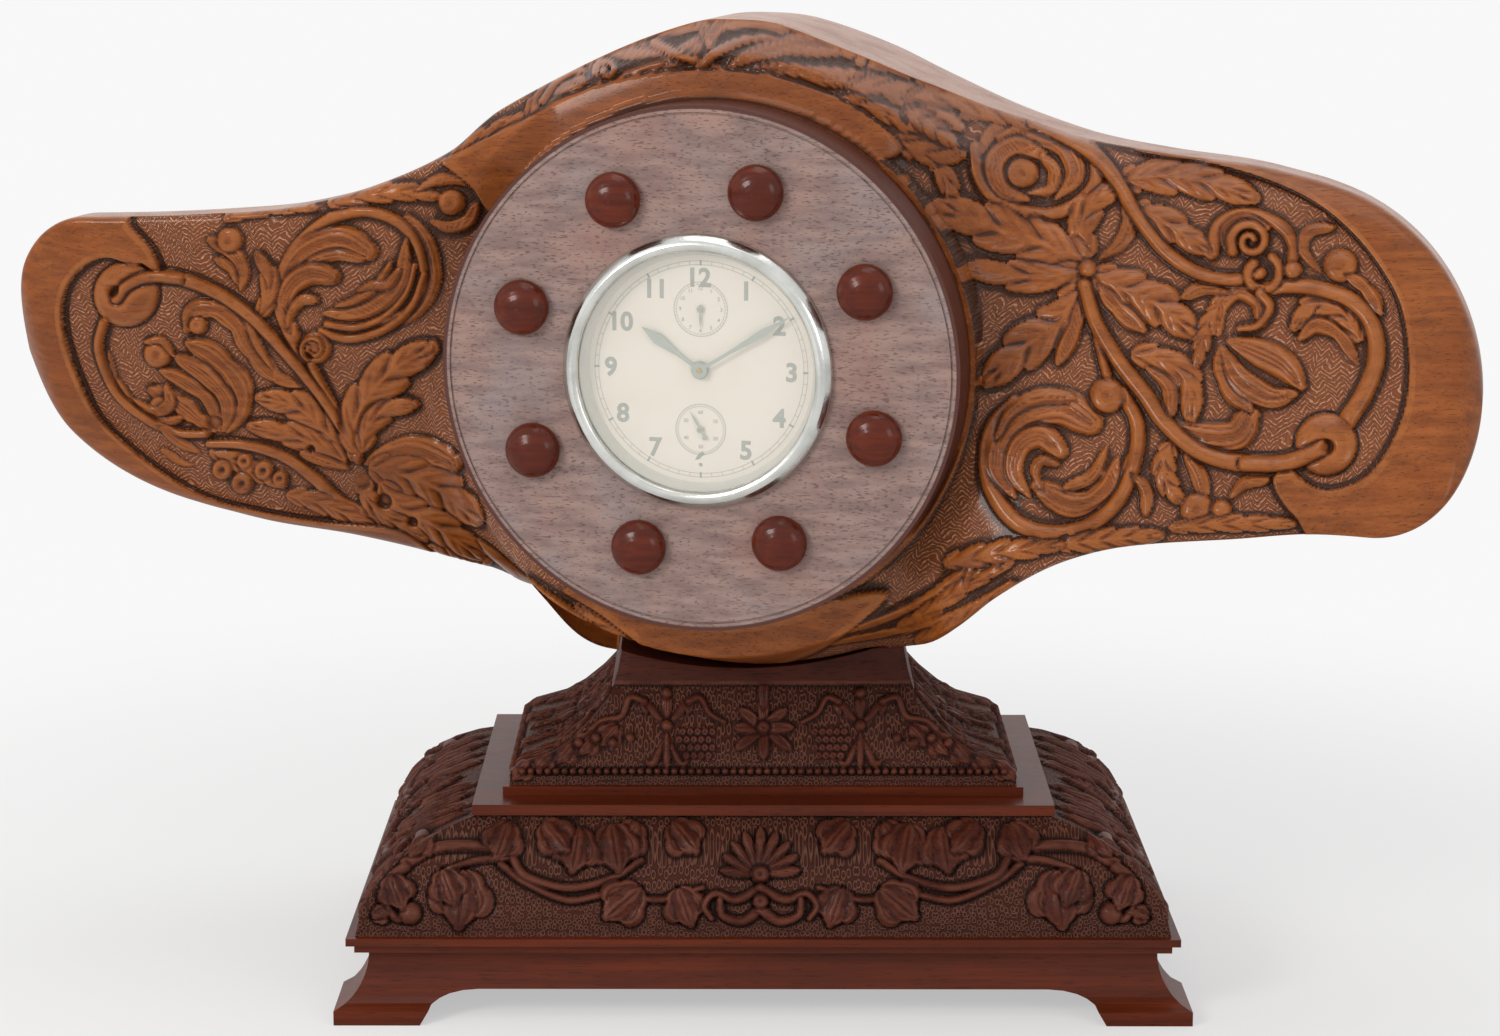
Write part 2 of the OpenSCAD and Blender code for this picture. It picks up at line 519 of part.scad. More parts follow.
// The space in front of the sunk ground of one blade, its back parallel to the carved face
carve_front = 170;
first_station = 2;
last_station = 15;
module before_ground(side) {
  ks = [for (k = [first_station : last_station]) side > 0 ? k : first_station + last_station - k];
  ring = ground_rows + 2;
  pts = [for (k = ks) let(r = station(side * k),
      row = [for (j = [0 : ground_rows - 1]) section_point(r, 360 * (j + 0.5) / around)])
    each concat([for (q = row) q + [0, carve_d, 0]],
      [[r, -carve_front, row[ground_rows - 1][2]], [r, -carve_front, row[0][2]]])];
  sides = [for (k = [0 : len(ks) - 2], j = [0 : ring - 1], half = [0, 1])
    let(a = k * ring + j, b = k * ring + (j + 1) % ring, c = a + ring, d = b + ring)
      half == 0 ? [a, b, c] : [b, d, c]];
  ends = [[for (j = [ring - 1 : -1 : 0]) j], [for (j = [0 : ring - 1]) (len(ks) - 1) * ring + j]];
  polyhedron(pts, concat(sides, ends), convexity = 8);
}
carve_back = 20;
module blade_carving(side) intersection() {
  dial_frame(carve_back) linear_extrude(carve_front - carve_back - 2) {
    if (side < 0) sunk_ground(ground_left, scrolls_left, leaves_left, bosses_left);
    if (side > 0) sunk_ground(ground_right, scrolls_right, leaves_right, bosses_right);
  }
  hub_frame() before_ground(side);
}

// How far the cutting bodies of the hub reach past the wood
front_past = 60;
saddle_past_x = 3;
saddle_past_y = 5;
saddle_below = 20;
module propeller() color(wood_amber) difference() {
  hub_frame() propeller_form();
  // Saddle seat, cut to the same cylinder as the neck
  difference() {
    translate([-neck_w / 2 - saddle_past_x, -neck_d / 2 - saddle_past_y, saddle_z - saddle_below])
      cube([neck_w + 2 * saddle_past_x, neck_d + 2 * saddle_past_y, front_past]);
    saddle(saddle_r, saddle_z);
  }
  // Seat of the fascia, and the flat back
  ring_at(disc_d / 2 + disc_gap, 0, hub_front, hub_front + front_past);
  ring_at(2 * band_r, 0, -hub_back - front_past, -hub_back);
  // Recess for the clock and access opening from behind
  ring_at(recess_r, 0, hub_front - recess_t, hub_front + 1);
  ring_at(access_r, 0, -hub_back - 1, hub_front);
  dial_frame(-hub_back - 1) bolt_circle() cylinder(r = bolt_bore / 2, h = hub_front + hub_back + 2);
  dial_frame(-hub_back - 1, [0, cover_pivot]) cylinder(r = pivot_d / 2 + eps, h = pivot_l() + 1);
  bolt_holes(saddle_z - saddle_below, bolt_top() + 1, bolt_d / 2 + eps);
  for (side = [-1, 1]) blade_carving(side);
}
function pivot_l() = 24;

module fascia_disc() color("#5d3330") difference() {
  ring_at(disc_d / 2, 0, hub_front, disc_front);
  ring_at(disc_d / 2 - rim_in, disc_d / 2 - rim_in - rim_line, disc_front - 0.8, disc_front + 1);
  ring_at(drum_r + 0.4, 0, hub_front - 1, disc_front + 1);
  dial_frame(hub_front - 1) bolt_circle() cylinder(r = bolt_bore / 2, h = disc_t + 2);
  dial_frame(hub_front - 1) clip_places() translate([clip_screw_r(), 0, 0]) cylinder(r = clip_screw_d / 2 + eps, h = 9);
}
peg_gap = 0.05;
module bolt_caps() color("#4a1a12") dial_frame(disc_front) bolt_circle() rotate_extrude() polygon(concat(
  [[0, -peg_l], [bolt_bore / 2 - peg_gap, -peg_l], [bolt_bore / 2 - peg_gap, 0], [cap_dome_d / 2 - 1.2, 0]],
  [for (a = [-20 : 10 : 90]) [cap_dome_d / 2 * cos(a), cap_dome_h * (0.26 + 0.74 * sin(a))]]));

module rear_cover() color(wood_red) difference() {
  ring_at(cover_r, 0, -hub_back - cover_gap - cover_t, -hub_back - cover_gap);
  dial_frame(-hub_back - cover_t - 2, [0, cover_pivot]) cylinder(r = pivot_d / 2 + run_gap, h = cover_t + 4);
  dial_frame(-hub_back - cover_t - 2, [0, -cover_r + 20]) cylinder(r = knob_pin_r, h = cover_t + 4);
}
cover_gap = 0.3;
knob_pin_r = 3;
module cover_pivot_screw() color(steel) dial_frame(-hub_back, [0, cover_pivot]) {
  translate([0, 0, -cover_t - cover_gap * 2 - 3]) cylinder(r = pivot_d * 0.95, h = 3);
  translate([0, 0, -cover_t - cover_gap * 2 - eps]) cylinder(r = pivot_d / 2, h = cover_t + cover_gap * 2 + pivot_l() - 1);
}
module cover_knob() color(wood_dark) dial_frame(-hub_back - cover_gap, [0, -cover_r + 20]) rotate([180, 0, 0])
  rotate_extrude() polygon([[0, 0], [knob_pin_r, 0], [knob_pin_r, cover_t], [cover_knob_d / 2 - 2, cover_t],
    [cover_knob_d / 2 - 3, cover_t + 4], [cover_knob_d / 2, cover_t + 8], [cover_knob_d / 2 - 2, cover_t + 12],
    [0, cover_t + 13.5]]);

// Clock case

module case_drum() color(steel) ring_at(drum_r, drum_r - drum_wall, drum_back, glass_back);
module case_back() color(steel) difference() {
  ring_at(drum_r, 0, case_back_in - case_back_t, case_back_in);
  control_holes(case_back_in - case_back_t);
  dial_frame(case_back_in - case_back_t - 1) pillar_places() cylinder(r = case_screw_r + hole_gap, h = case_back_t + 2);
}
case_screw_r = 1.2;
case_screw_in = 4;
module case_screws() color(steel) dial_frame(case_back_in - case_back_t) pillar_places() {
  translate([0, 0, -1.2]) cylinder(r = 2.6, h = 1.2);
  translate([0, 0, -eps]) cylinder(r = case_screw_r, h = case_back_t + case_screw_in);
}
bezel_lip = 2.5;
module bezel() color("#d6d6d2") dial_frame(disc_front) rotate_extrude() polygon([
  [drum_r + 0.1, 0], [bezel_r, 0], [bezel_r, 1.6], [bezel_r - 1, 3.4], [bezel_r - 3, bezel_h - 0.6],
  [bezel_r - 4.6, bezel_h], [face_r + 3.6, bezel_h - 0.5], [face_r + 2.6, bezel_h - bezel_lip + 0.3],
  [face_r + 2.6, bezel_h - bezel_lip], [drum_r + 0.1, bezel_h - bezel_lip]]);
module glass() color("#dfe8e8", 0.3) ring_at(drum_r, 0, glass_back, glass_back + glass_t);
module rehaut_ring() color("#c9c8c0") dial_frame(dial_face) rotate_extrude() polygon([
  [face_r, 0], [drum_r - drum_wall - 0.1, 0], [drum_r - drum_wall - 0.1, glass_back - dial_face],
  [face_r + 2.6, glass_back - dial_face], [face_r, 0.6]]);
dial_foot_r = 0.8;
dial_foot_l = motion_gap + plate_t;
module dial_feet() for (a = [60, 150, 240]) translate(polar(40, a)) cylinder(r = dial_foot_r, h = dial_foot_l + eps);
module dial() color("#efe6cf") {
  difference() {
    ring_at(drum_r - drum_wall - 0.1, 0, dial_back, dial_face);
    dial_frame(dial_back - 1) {
      cylinder(r = hour_pipe_r + 0.3, h = dial_t + 2);
      for (s = [-1, 1]) translate([0, s * sub_r]) cylinder(r = fine_r + 0.3, h = dial_t + 2);
    }
  }
  dial_frame(dial_back - dial_foot_l) dial_feet();
}

clip_screw_d = 2.5;
function clip_screw_r() = drum_r + 4.6;
module clip_places() for (a = [90, 210, 330]) rotate(a) children();
module retaining_clips() color(steel) dial_frame(hub_front - 1.2) clip_places() difference() {
  union() {
    translate([drum_r + 0.15, -5, 0]) cube([8.2, 10, 1.2]);
    translate([drum_r + 0.15, -5, -11]) cube([1.2, 10, 12]);
  }
  translate([clip_screw_r(), 0, -1]) cylinder(r = clip_screw_d / 2 + 0.1, h = 4);
}
module clip_screws() color(steel) dial_frame(hub_front - 1.2) clip_places() translate([clip_screw_r(), 0, 0]) {
  translate([0, 0, -1.5]) cylinder(r = clip_screw_d * 0.9, h = 1.5);
  translate([0, 0, -eps]) cylinder(r = clip_screw_d / 2, h = 9);
}

// Hands, each pointing up before it is turned

hour_turn = -304.9;
minute_turn = -58.5;
second_turn = 30;
alarm_turn = 180;
alarm_level = dial_face + 0.8;
hour_level = dial_face + 1.6;
minute_level = dial_face + 3;
second_level = dial_face + 0.8;
hand_t = 0.4;
module hand(level, turn, at = [0, 0]) dial_frame(level, at) rotate(turn) linear_extrude(hand_t) children();
module blade_shape(from, l, root, wide, at_wide) polygon([[root, from], [root, at_wide * 0.5 * l],
  [wide, at_wide * l], [0, l], [-wide, at_wide * l], [-root, at_wide * 0.5 * l], [-root, from]]);
module hour_hand() color("#9aa39a") hand(hour_level, hour_turn) difference() {
  union() {
    circle(4);
    blade_shape(3.2, hour_l, 0.9, 2.6, 0.72);
  }
  circle(hour_pipe_r + run_gap);
}
module minute_hand() color("#9aa39a") hand(minute_level, minute_turn) difference() {
  union() {
    circle(3.4);
    blade_shape(2.6, minute_l, 0.8, 1.7, 0.7);
  }
  circle(centre_r);
}
module small_hand(l, tail) difference() {
  union() {
    circle(1.6);
    blade_shape(1.2, l, 0.35, 0.5, 0.5);
    translate([-0.5, -tail]) square([1, tail - 1.2]);
    if (tail > 3) translate([0, -tail]) circle(1.1);
  }
  circle(fine_r);
}
module seconds_hand() color("#9aa39a") hand(second_level, second_turn, [0, -sub_r]) small_hand(second_l, 4);
module alarm_hand() color("#9aa39a") hand(alarm_level, alarm_turn, [0, sub_r]) small_hand(alarm_l, 2);

// Movement

// Tooth counts and modules of the wheels and pinions in mesh
barrel_n = 72;
centre_pinion_n = 12;
barrel_m = 0.5;
centre_n = 64;
third_pinion_n = 8;
centre_m = 0.5;
third_n = 60;
seconds_pinion_n = 8;
third_m = 0.45;
seconds_n = 70;
escape_pinion_n = 7;
seconds_m = 0.35;
cannon_n = 12;
minute_n = 36;
cannon_m = 0.5;
minute_pinion_n = 10;
hour_n = 40;
hour_m = 0.48;
alarm_n = 66;
star_pinion_n = 10;
alarm_m = 0.5;
escape_teeth = 15;
star_teeth = 12;
function apart(a, b, m) = (a + b) * m / 2;

// Arbor places on the dial's frame
centre_at = [0, 0];
seconds_at = [0, -sub_r];
alarm_at = [0, sub_r];
third_c = apart(centre_n, third_pinion_n, centre_m);
third_s = apart(third_n, seconds_pinion_n, third_m);
third_y = -(third_c ^ 2 - third_s ^ 2 + sub_r ^ 2) / (2 * sub_r);
third_at = [sqrt(third_c ^ 2 - third_y ^ 2), third_y];
barrel_at = polar(apart(barrel_n, centre_pinion_n, barrel_m), 150);
minute_at = polar(apart(cannon_n, minute_n, cannon_m), 35);
escape_at = seconds_at + polar(apart(seconds_n, escape_pinion_n, seconds_m), 200);
pallet_at = escape_at + polar(8.6, 150);
balance_at = escape_at + polar(19.2, 150);
alarm_barrel_at = [26.5, 12.5];
star_at = alarm_barrel_at + polar(apart(alarm_n, star_pinion_n, alarm_m), -62);
hammer_at = [24, -33];
pillar_turns = [100, 178, 275, 325];
cock_at = [-41, -16];
stop_at = [-9, -38];
centre_r = 1.2;
hour_pipe_r = 2.3;
fine_r = 0.7;
winding_r = 2;
pillar_r = 2.4;
module pillar_places() for (a = pillar_turns) translate(polar(pillar_pcr, a)) children();

// Angle from one arbor to another, and a wheel turned so that a tooth or a gap looks along it
function bearing(a, b) = atan2(b[1] - a[1], b[0] - a[0]);
module wheel_2d(n, m, hole) difference() {
  polygon([for (k = [0 : n - 1], c = [[-1.15, -0.25], [0.72, -0.09], [0.72, 0.09], [-1.15, 0.25]])
    polar(n * m / 2 + c[0] * m, (k + c[1]) * 360 / n)]);
  if (hole > 0) circle(hole);
}
module toothed(n, m, hole, back, thickness, at, look, gap = 0)
  dial_frame(back, at) linear_extrude(thickness) rotate(look + gap * 180 / n) wheel_2d(n, m, hole);
module spokes(n, outer, inner, count) difference() {
  wheel_2d(n[0], n[1], 0);
  for (k = [0 : count - 1]) rotate(360 * k / count) intersection() {
    difference() {
      circle(outer);
      circle(inner);
    }
    polygon([[0, 0], polar(2 * outer, 180 / count - 24), polar(2 * outer, -180 / count + 24)]);
  }
}
module crossed_wheel(n, m, back, thickness, at, look) dial_frame(back, at) linear_extrude(thickness) rotate(look)
  spokes([n, m], n * m / 2 - 2.4, 3.2, 4);
module arbor(r, back, front, at) dial_frame(back, at) cylinder(r = r, h = front - back);

module plate_holes(back) dial_frame(back - 1) {
  h = plate_t + 2;
  for (p = [[centre_at, centre_r], [seconds_at, fine_r], [alarm_at, fine_r], [third_at, fine_r],
    [escape_at, fine_r], [star_at, fine_r], [hammer_at, fine_r], [barrel_at, winding_r],
    [alarm_barrel_at, winding_r]]) translate(p[0]) cylinder(r = p[1] + run_gap, h = h);
}
module front_plate() color(brass) {
  difference() {
    ring_at(plate_r, 0, plate_fb, plate_f);
    plate_holes(plate_fb);
    dial_frame(plate_fb - 1) {
      pillar_places() cylinder(r = spigot_r + run_gap, h = plate_t + 2);
      for (a = [60, 150, 240]) translate(polar(40, a)) cylinder(r = dial_foot_r + run_gap, h = plate_t + 2);
      translate(pallet_at) cylinder(r = fine_r + run_gap, h = plate_t + 2);
    }
  }
  arbor(fine_r, plate_f - eps, plate_f + motion_gap - 0.5, minute_at);
}
spigot_r = 1.3;
module back_plate() color(brass) difference() {
  ring_at(plate_r, 0, plate_bb, plate_b);
  plate_holes(plate_bb);
  dial_frame(plate_bb - 1) {
    pillar_places() cylinder(r = pillar_r - 0.4 + run_gap, h = plate_t + 2);
    translate(pallet_at) cylinder(r = fine_r + run_gap, h = plate_t + 2);
    translate(balance_at) cylinder(r = fine_r + run_gap, h = plate_t + 2);
    translate(stop_at) cylinder(r = stop_r + 0.1, h = plate_t + 2);
    translate(cock_at) cylinder(r = 1 + run_gap, h = plate_t + 2);
    for (place = [[barrel_at, 200], [alarm_barrel_at, -20]]) translate(place[0]) rotate(place[1])
      translate([ratchet_r + click_out, 0]) cylinder(r = 0.8 + eps, h = plate_t + 2);
  }
}
module pillars() color(brass) difference() {
  dial_frame(0) pillar_places() {
    translate([0, 0, plate_b]) cylinder(r = pillar_r, h = plate_gap);
    translate([0, 0, case_back_in]) cylinder(r = pillar_r - 0.4, h = plate_b - case_back_in + eps);
    translate([0, 0, plate_fb - eps]) cylinder(r = spigot_r, h = plate_t + 1.8);
  }
  dial_frame(case_back_in - 1) pillar_places() cylinder(r = case_screw_r + eps, h = case_screw_in + 2);
}
module pillar_nuts() color(steel) dial_frame(plate_f) pillar_places() linear_extrude(1.6) difference() {
  circle(2.6, $fn = 6);
  circle(spigot_r + 0.02);
}

barrel_back = plate_b + 1;
barrel_h = 12;
barrel_rim = 2.4;
module barrel(n, m, at, look) difference() {
  union() {
    toothed(n, m, 0, barrel_back, barrel_rim, at, look);
    ring_at(n * m / 2 - 1.2, 0, barrel_back, barrel_back + barrel_h, at);
  }
  ring_at(n * m / 2 - 2.2, 0, barrel_back + 1, barrel_back + barrel_h - 1, at);
  ring_at(winding_r + run_gap, 0, barrel_back - 1, barrel_back + barrel_h + 1, at);
}
// A flat spring strip, coiled from the arbor out to the barrel's wall
function spiral(r0, r1, turns, steps) = [for (k = [0 : turns * steps])
  polar(r0 + (r1 - r0) * k / (turns * steps), 360 * k / steps)];
module coil(r0, r1, turns, strip, steps = 24) polygon(concat(spiral(r0, r1, turns, steps),
  [for (k = [turns * steps : -1 : 0]) polar(r0 + strip + (r1 - r0) * k / (turns * steps), 360 * k / steps)]));
module mainspring(n, m, at) dial_frame(barrel_back + 1.3, at) linear_extrude(barrel_h - 2.6)
  coil(winding_r + 1.2, n * m / 2 - 2.2 - 0.7, 8, 0.5);
module time_barrel() color(brass) barrel(barrel_n, barrel_m, barrel_at, bearing(barrel_at, centre_at));
module time_mainspring() color(steel) mainspring(barrel_n, barrel_m, barrel_at);
module alarm_barrel() color(brass) barrel(alarm_n, alarm_m, alarm_barrel_at, bearing(alarm_barrel_at, star_at));
module alarm_mainspring() color(steel) mainspring(alarm_n, alarm_m, alarm_barrel_at);

ratchet_back = plate_bb - 2.2;
ratchet_t = 1.4;
ratchet_r = 6.5;
module ratchet_2d(r, n) polygon([for (k = [0 : n - 1], c = [[r, 0], [r - 0.9, 0.12]])
  polar(c[0], (k + c[1]) * 360 / n)]);
module winding_arbor(at) {
  arbor(winding_r, key_level + 2, plate_f - 0.4, at);
  dial_frame(ratchet_back, at) linear_extrude(ratchet_t) ratchet_2d(ratchet_r, 24);
}
module time_winding_arbor() color(steel) winding_arbor(barrel_at);
module alarm_winding_arbor() color(steel) winding_arbor(alarm_barrel_at);
// Each click turns on a pin in the back plate, with its nose at the ratchet
click_out = 4;
module winding_clicks() color(steel) for (place = [[barrel_at, 200], [alarm_barrel_at, -20]])
  dial_frame(ratchet_back, place[0]) rotate(place[1]) {
    linear_extrude(ratchet_t) union() {
      translate([ratchet_r + click_out, 0]) circle(1.6);
      polygon([[ratchet_r + click_out - 1.2, -0.8], [ratchet_r + click_out + 1.2, 0.7], [ratchet_r - 0.4, 3.25]]);
    }
    translate([ratchet_r + click_out, 0, 0]) cylinder(r = 0.8, h = plate_bb - ratchet_back + plate_t);
  }
// A wing key: a hub on the arbor's end with two flat wings
key_t = 2.4;
module wing_key(at) difference() {
  dial_frame(key_level, at) {
    cylinder(r = winding_r + 1.6, h = 8);
    translate([0, 0, -9]) hull_free_wings();
  }
  arbor(winding_r + 0.02, key_level + 2 - 0.05, key_level + 9, at);
}
module hull_free_wings() translate([0, key_t / 2, 0]) rotate([90, 0, 0]) linear_extrude(key_t) union() {
  translate([-2.6, 2]) square([5.2, 8]);
  for (s = [-1, 1]) translate([s * 5, 5]) circle(4.6);
}
module time_key() color(steel) wing_key(barrel_at);
module alarm_key() color(steel) wing_key(alarm_barrel_at);

centre_level = plate_fb - 4.5;
module centre_wheel() color(brass) {
  arbor(centre_r, key_level + 3, minute_level + hand_t + 0.6, centre_at);
  toothed(centre_pinion_n, barrel_m, centre_r - 0.2, barrel_back - 0.4, barrel_rim + 0.8, centre_at,
    bearing(centre_at, barrel_at), 1);
  crossed_wheel(centre_n, centre_m, centre_level, 1.4, centre_at, bearing(centre_at, third_at));
  toothed(cannon_n, cannon_m, centre_r - 0.2, plate_f + 0.4, 1.2, centre_at, bearing(centre_at, minute_at));
}
module round_knob(r, at, hole) difference() {
  dial_frame(key_level, at) union() {
    cylinder(r = r, h = 5);
    cylinder(r = r * 0.55, h = 8);
  }
  arbor(hole + 0.02, key_level + 3 - 0.05, key_level + 9, at);
}
module hand_set_knob() color(steel) round_knob(5.5, centre_at, centre_r);
module alarm_set_knob() color(steel) round_knob(4.5, alarm_at, fine_r);
third_level = plate_b + 6;
module third_wheel() color(brass) {
  arbor(fine_r, plate_bb + 0.3, plate_f - 0.3, third_at);
  toothed(third_pinion_n, centre_m, fine_r - 0.2, centre_level - 0.4, 2.2, third_at, bearing(third_at, centre_at), 1);
  crossed_wheel(third_n, third_m, third_level, 1.4, third_at, bearing(third_at, seconds_at));
}
seconds_level = plate_b + 11;
module seconds_wheel() color(brass) {
  arbor(fine_r, plate_bb + 0.3, second_level + hand_t + 0.3, seconds_at);
  toothed(seconds_pinion_n, third_m, fine_r - 0.2, third_level - 0.4, 2.2, seconds_at, bearing(seconds_at, third_at), 1);
  crossed_wheel(seconds_n, seconds_m, seconds_level, 1.2, seconds_at, bearing(seconds_at, escape_at));
}
escape_level = third_level;
module escape_wheel() color(brass) {
  arbor(fine_r, plate_bb + 0.3, plate_f - 0.3, escape_at);
  toothed(escape_pinion_n, seconds_m, fine_r - 0.2, seconds_level - 0.4, 2, escape_at, bearing(escape_at, seconds_at), 1);
  dial_frame(escape_level, escape_at) linear_extrude(1) ratchet_2d(escape_r, escape_teeth);
}
escape_r = 5.4;
module pallet_lever() color(steel) {
  arbor(fine_r, plate_bb + 0.3, plate_f - 0.3, pallet_at);
  dial_frame(escape_level, pallet_at) linear_extrude(1) rotate(bearing(pallet_at, escape_at)) {
    circle(1.8);
    translate([-6.4, -0.6]) square([6.4, 1.2]);
    for (s = [-1, 1]) polygon([[-0.8, 0], [0.8, 0], [4.6, s * 4.2], [3.6, s * 5.2], [0, s * 2.6]]);
  }
}
balance_r = 8.4;
balance_level = plate_b + 9;
module balance_wheel() color(brass) {
  arbor(fine_r, plate_bb + 0.3, cock_level + 1.2, balance_at);
  dial_frame(balance_level, balance_at) linear_extrude(1.4) {
    difference() {
      circle(balance_r);
      circle(balance_r - 1.2);
    }
    for (a = [0, 90]) rotate(a) translate([-balance_r + 0.8, -0.6]) square([2 * balance_r - 1.6, 1.2]);
    circle(2);
  }
  ring_at(2.6, 0, balance_level - 1.8, balance_level - 1, balance_at);
  ring_at(1.5, 0, balance_level - 1.1, balance_level + 0.1, balance_at);
}
cock_level = plate_b + 15.5;
spring_level = balance_level + 3.6;
module hairspring() color(steel) {
  dial_frame(spring_level, balance_at) linear_extrude(0.5) coil(fine_r + 0.5, 5.8, 6, 0.2);
  arbor(0.5, spring_level - 0.2, cock_level, balance_at + [5.9, 0]);
}
module balance_cock() color(brass) difference() {
  union() {
    arbor(2.8, plate_b, cock_level + 1.6, cock_at);
    arbor(1, plate_bb, plate_b + eps, cock_at);
    dial_frame(cock_level, cock_at) linear_extrude(1.6) rotate(bearing(cock_at, balance_at)) {
      translate([0, -2]) square([norm(balance_at - cock_at), 4]);
      translate([norm(balance_at - cock_at), 0]) circle(3.4);
    }
    dial_frame(cock_level, balance_at) linear_extrude(1.6) translate([0, -1.2]) square([6.8, 2.4]);
  }
  arbor(fine_r + run_gap, cock_level - 1, cock_level + 3, balance_at);
}
module minute_wheel() color(brass) {
  toothed(minute_n, cannon_m, fine_r + run_gap, plate_f + 0.6, 0.8, minute_at, bearing(minute_at, centre_at), 1);
  toothed(minute_pinion_n, hour_m, fine_r + run_gap, plate_f + 1.3, 1.9, minute_at, bearing(minute_at, centre_at));
}
hour_back = plate_f + 2.2;
module hour_wheel() color(brass) {
  toothed(hour_n, hour_m, centre_r + run_gap + 0.5, hour_back, 0.8, centre_at, bearing(centre_at, minute_at), 1);
  ring_at(hour_pipe_r, centre_r + run_gap, hour_back + 0.2, hour_level + hand_t + 0.3);
}
module alarm_set_arbor() color(steel) {
  arbor(fine_r, key_level + 3, alarm_level + hand_t + 0.3, alarm_at);
  ring_at(4, 0, plate_b + 3, plate_b + 4.2, alarm_at);
}
module alarm_star_wheel() color(steel) {
  arbor(fine_r, plate_bb + 0.3, plate_f - 0.3, star_at);
  toothed(star_pinion_n, alarm_m, fine_r - 0.2, barrel_back - 0.4, barrel_rim + 0.8, star_at,
    bearing(star_at, alarm_barrel_at), 1);
  dial_frame(star_level, star_at) linear_extrude(1.4) ratchet_2d(6.8, star_teeth);
}
star_level = barrel_back + barrel_h + 1;
hammer_arm = [7.2, 21.4];
hammer_head = [14, 2];
module hammer_bar(to, half) rotate(atan2(to[1], to[0])) translate([0, -half]) square([norm(to), 2 * half]);
module alarm_hammer() color(steel) {
  arbor(fine_r, plate_bb + 0.3, plate_f - 0.3, hammer_at);
  dial_frame(star_level, hammer_at) linear_extrude(2.4) {
    circle(2.2);
    hammer_bar(hammer_arm, 0.8);
    hammer_bar(hammer_head, 0.8);
    translate(hammer_head) circle(2.4);
  }
}
stop_r = 1.2;
stop_travel = 2.5;
module silence_button() color(steel) {
  arbor(stop_r, case_back_in - case_back_t - stop_travel - 4, plate_bb - 1, stop_at);
  arbor(3, case_back_in - case_back_t - stop_travel - 4.2, case_back_in - case_back_t - stop_travel - 0.4, stop_at);
}
module control_holes(back) dial_frame(back - 1) for (p = [[centre_at, centre_r], [alarm_at, fine_r],
  [barrel_at, winding_r], [alarm_barrel_at, winding_r], [stop_at, stop_r]])
  translate(p[0]) cylinder(r = p[1] + 0.3, h = case_back_t + 2);

foot_frame_front();
foot_frame_rear();
foot_frame_sides();
glue_blocks();
plinth_board();
carved_block();
cap_board();
neck_slab();
neck_block();
plinth_screws();
boss_bolts();
boss_bolt_washers();
propeller();
fascia_disc();
bolt_caps();
rear_cover();
cover_pivot_screw();
cover_knob();
case_drum();
case_back();
case_screws();
bezel();
glass();
rehaut_ring();
dial();
hour_hand();
minute_hand();
seconds_hand();
alarm_hand();
retaining_clips();
clip_screws();
front_plate();
back_plate();
pillars();
pillar_nuts();
time_barrel();
time_mainspring();
time_winding_arbor();
time_key();
alarm_barrel();
alarm_mainspring();
alarm_winding_arbor();
alarm_key();
winding_clicks();
centre_wheel();
hand_set_knob();
third_wheel();
seconds_wheel();
escape_wheel();
pallet_lever();
balance_wheel();
hairspring();
balance_cock();
minute_wheel();
hour_wheel();
alarm_set_arbor();
alarm_set_knob();
alarm_star_wheel();
alarm_hammer();
silence_button();
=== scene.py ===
"""Looks of the propeller clock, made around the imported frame.

The propeller, the plinth block and the neck get their carving here: each is rebuilt from the formula of
its CAD form on a fine grid, and strokes, leaves and balls raise the grid. The strokes are laid out on a
sheet, which is the view of the stage camera in picture units, so a stroke stands where the camera sees it.
"""

import json
import math

import bpy
import numpy as np
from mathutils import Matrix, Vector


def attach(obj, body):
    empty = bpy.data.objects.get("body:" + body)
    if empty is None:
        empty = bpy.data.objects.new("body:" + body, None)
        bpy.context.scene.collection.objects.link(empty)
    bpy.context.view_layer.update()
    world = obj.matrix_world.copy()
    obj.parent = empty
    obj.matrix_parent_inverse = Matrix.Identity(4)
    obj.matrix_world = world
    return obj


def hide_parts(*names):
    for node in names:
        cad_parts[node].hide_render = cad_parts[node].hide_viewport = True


bl_info = {
    "name": "Propeller clock looks",
    "version": (1, 0, 0),
    "blender": (4, 5, 0),
    "location": "3D View > Sidebar > Clock",
    "description": "Carving, woods, dial print and stage of a clock set in a propeller hub",
    "category": "Object",
}

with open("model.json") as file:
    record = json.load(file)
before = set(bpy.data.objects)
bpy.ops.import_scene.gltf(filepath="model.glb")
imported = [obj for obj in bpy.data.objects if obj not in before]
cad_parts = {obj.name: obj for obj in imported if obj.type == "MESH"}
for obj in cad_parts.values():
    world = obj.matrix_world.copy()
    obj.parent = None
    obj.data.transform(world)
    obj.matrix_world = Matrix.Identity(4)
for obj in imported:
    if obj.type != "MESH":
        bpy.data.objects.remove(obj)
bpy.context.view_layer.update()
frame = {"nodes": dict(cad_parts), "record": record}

MM = 0.001

# Camera: place in mm, angles in degrees, and the picture it fills
CAMERA_AT = np.array([-11.83, -1634.75, 525.99])
CAMERA_YAW = 0.20
CAMERA_PITCH = 10.92
CAMERA_ROLL = 0.13
LENS = 84.0
SENSOR = 36.0
PICTURE = (1500, 1036)

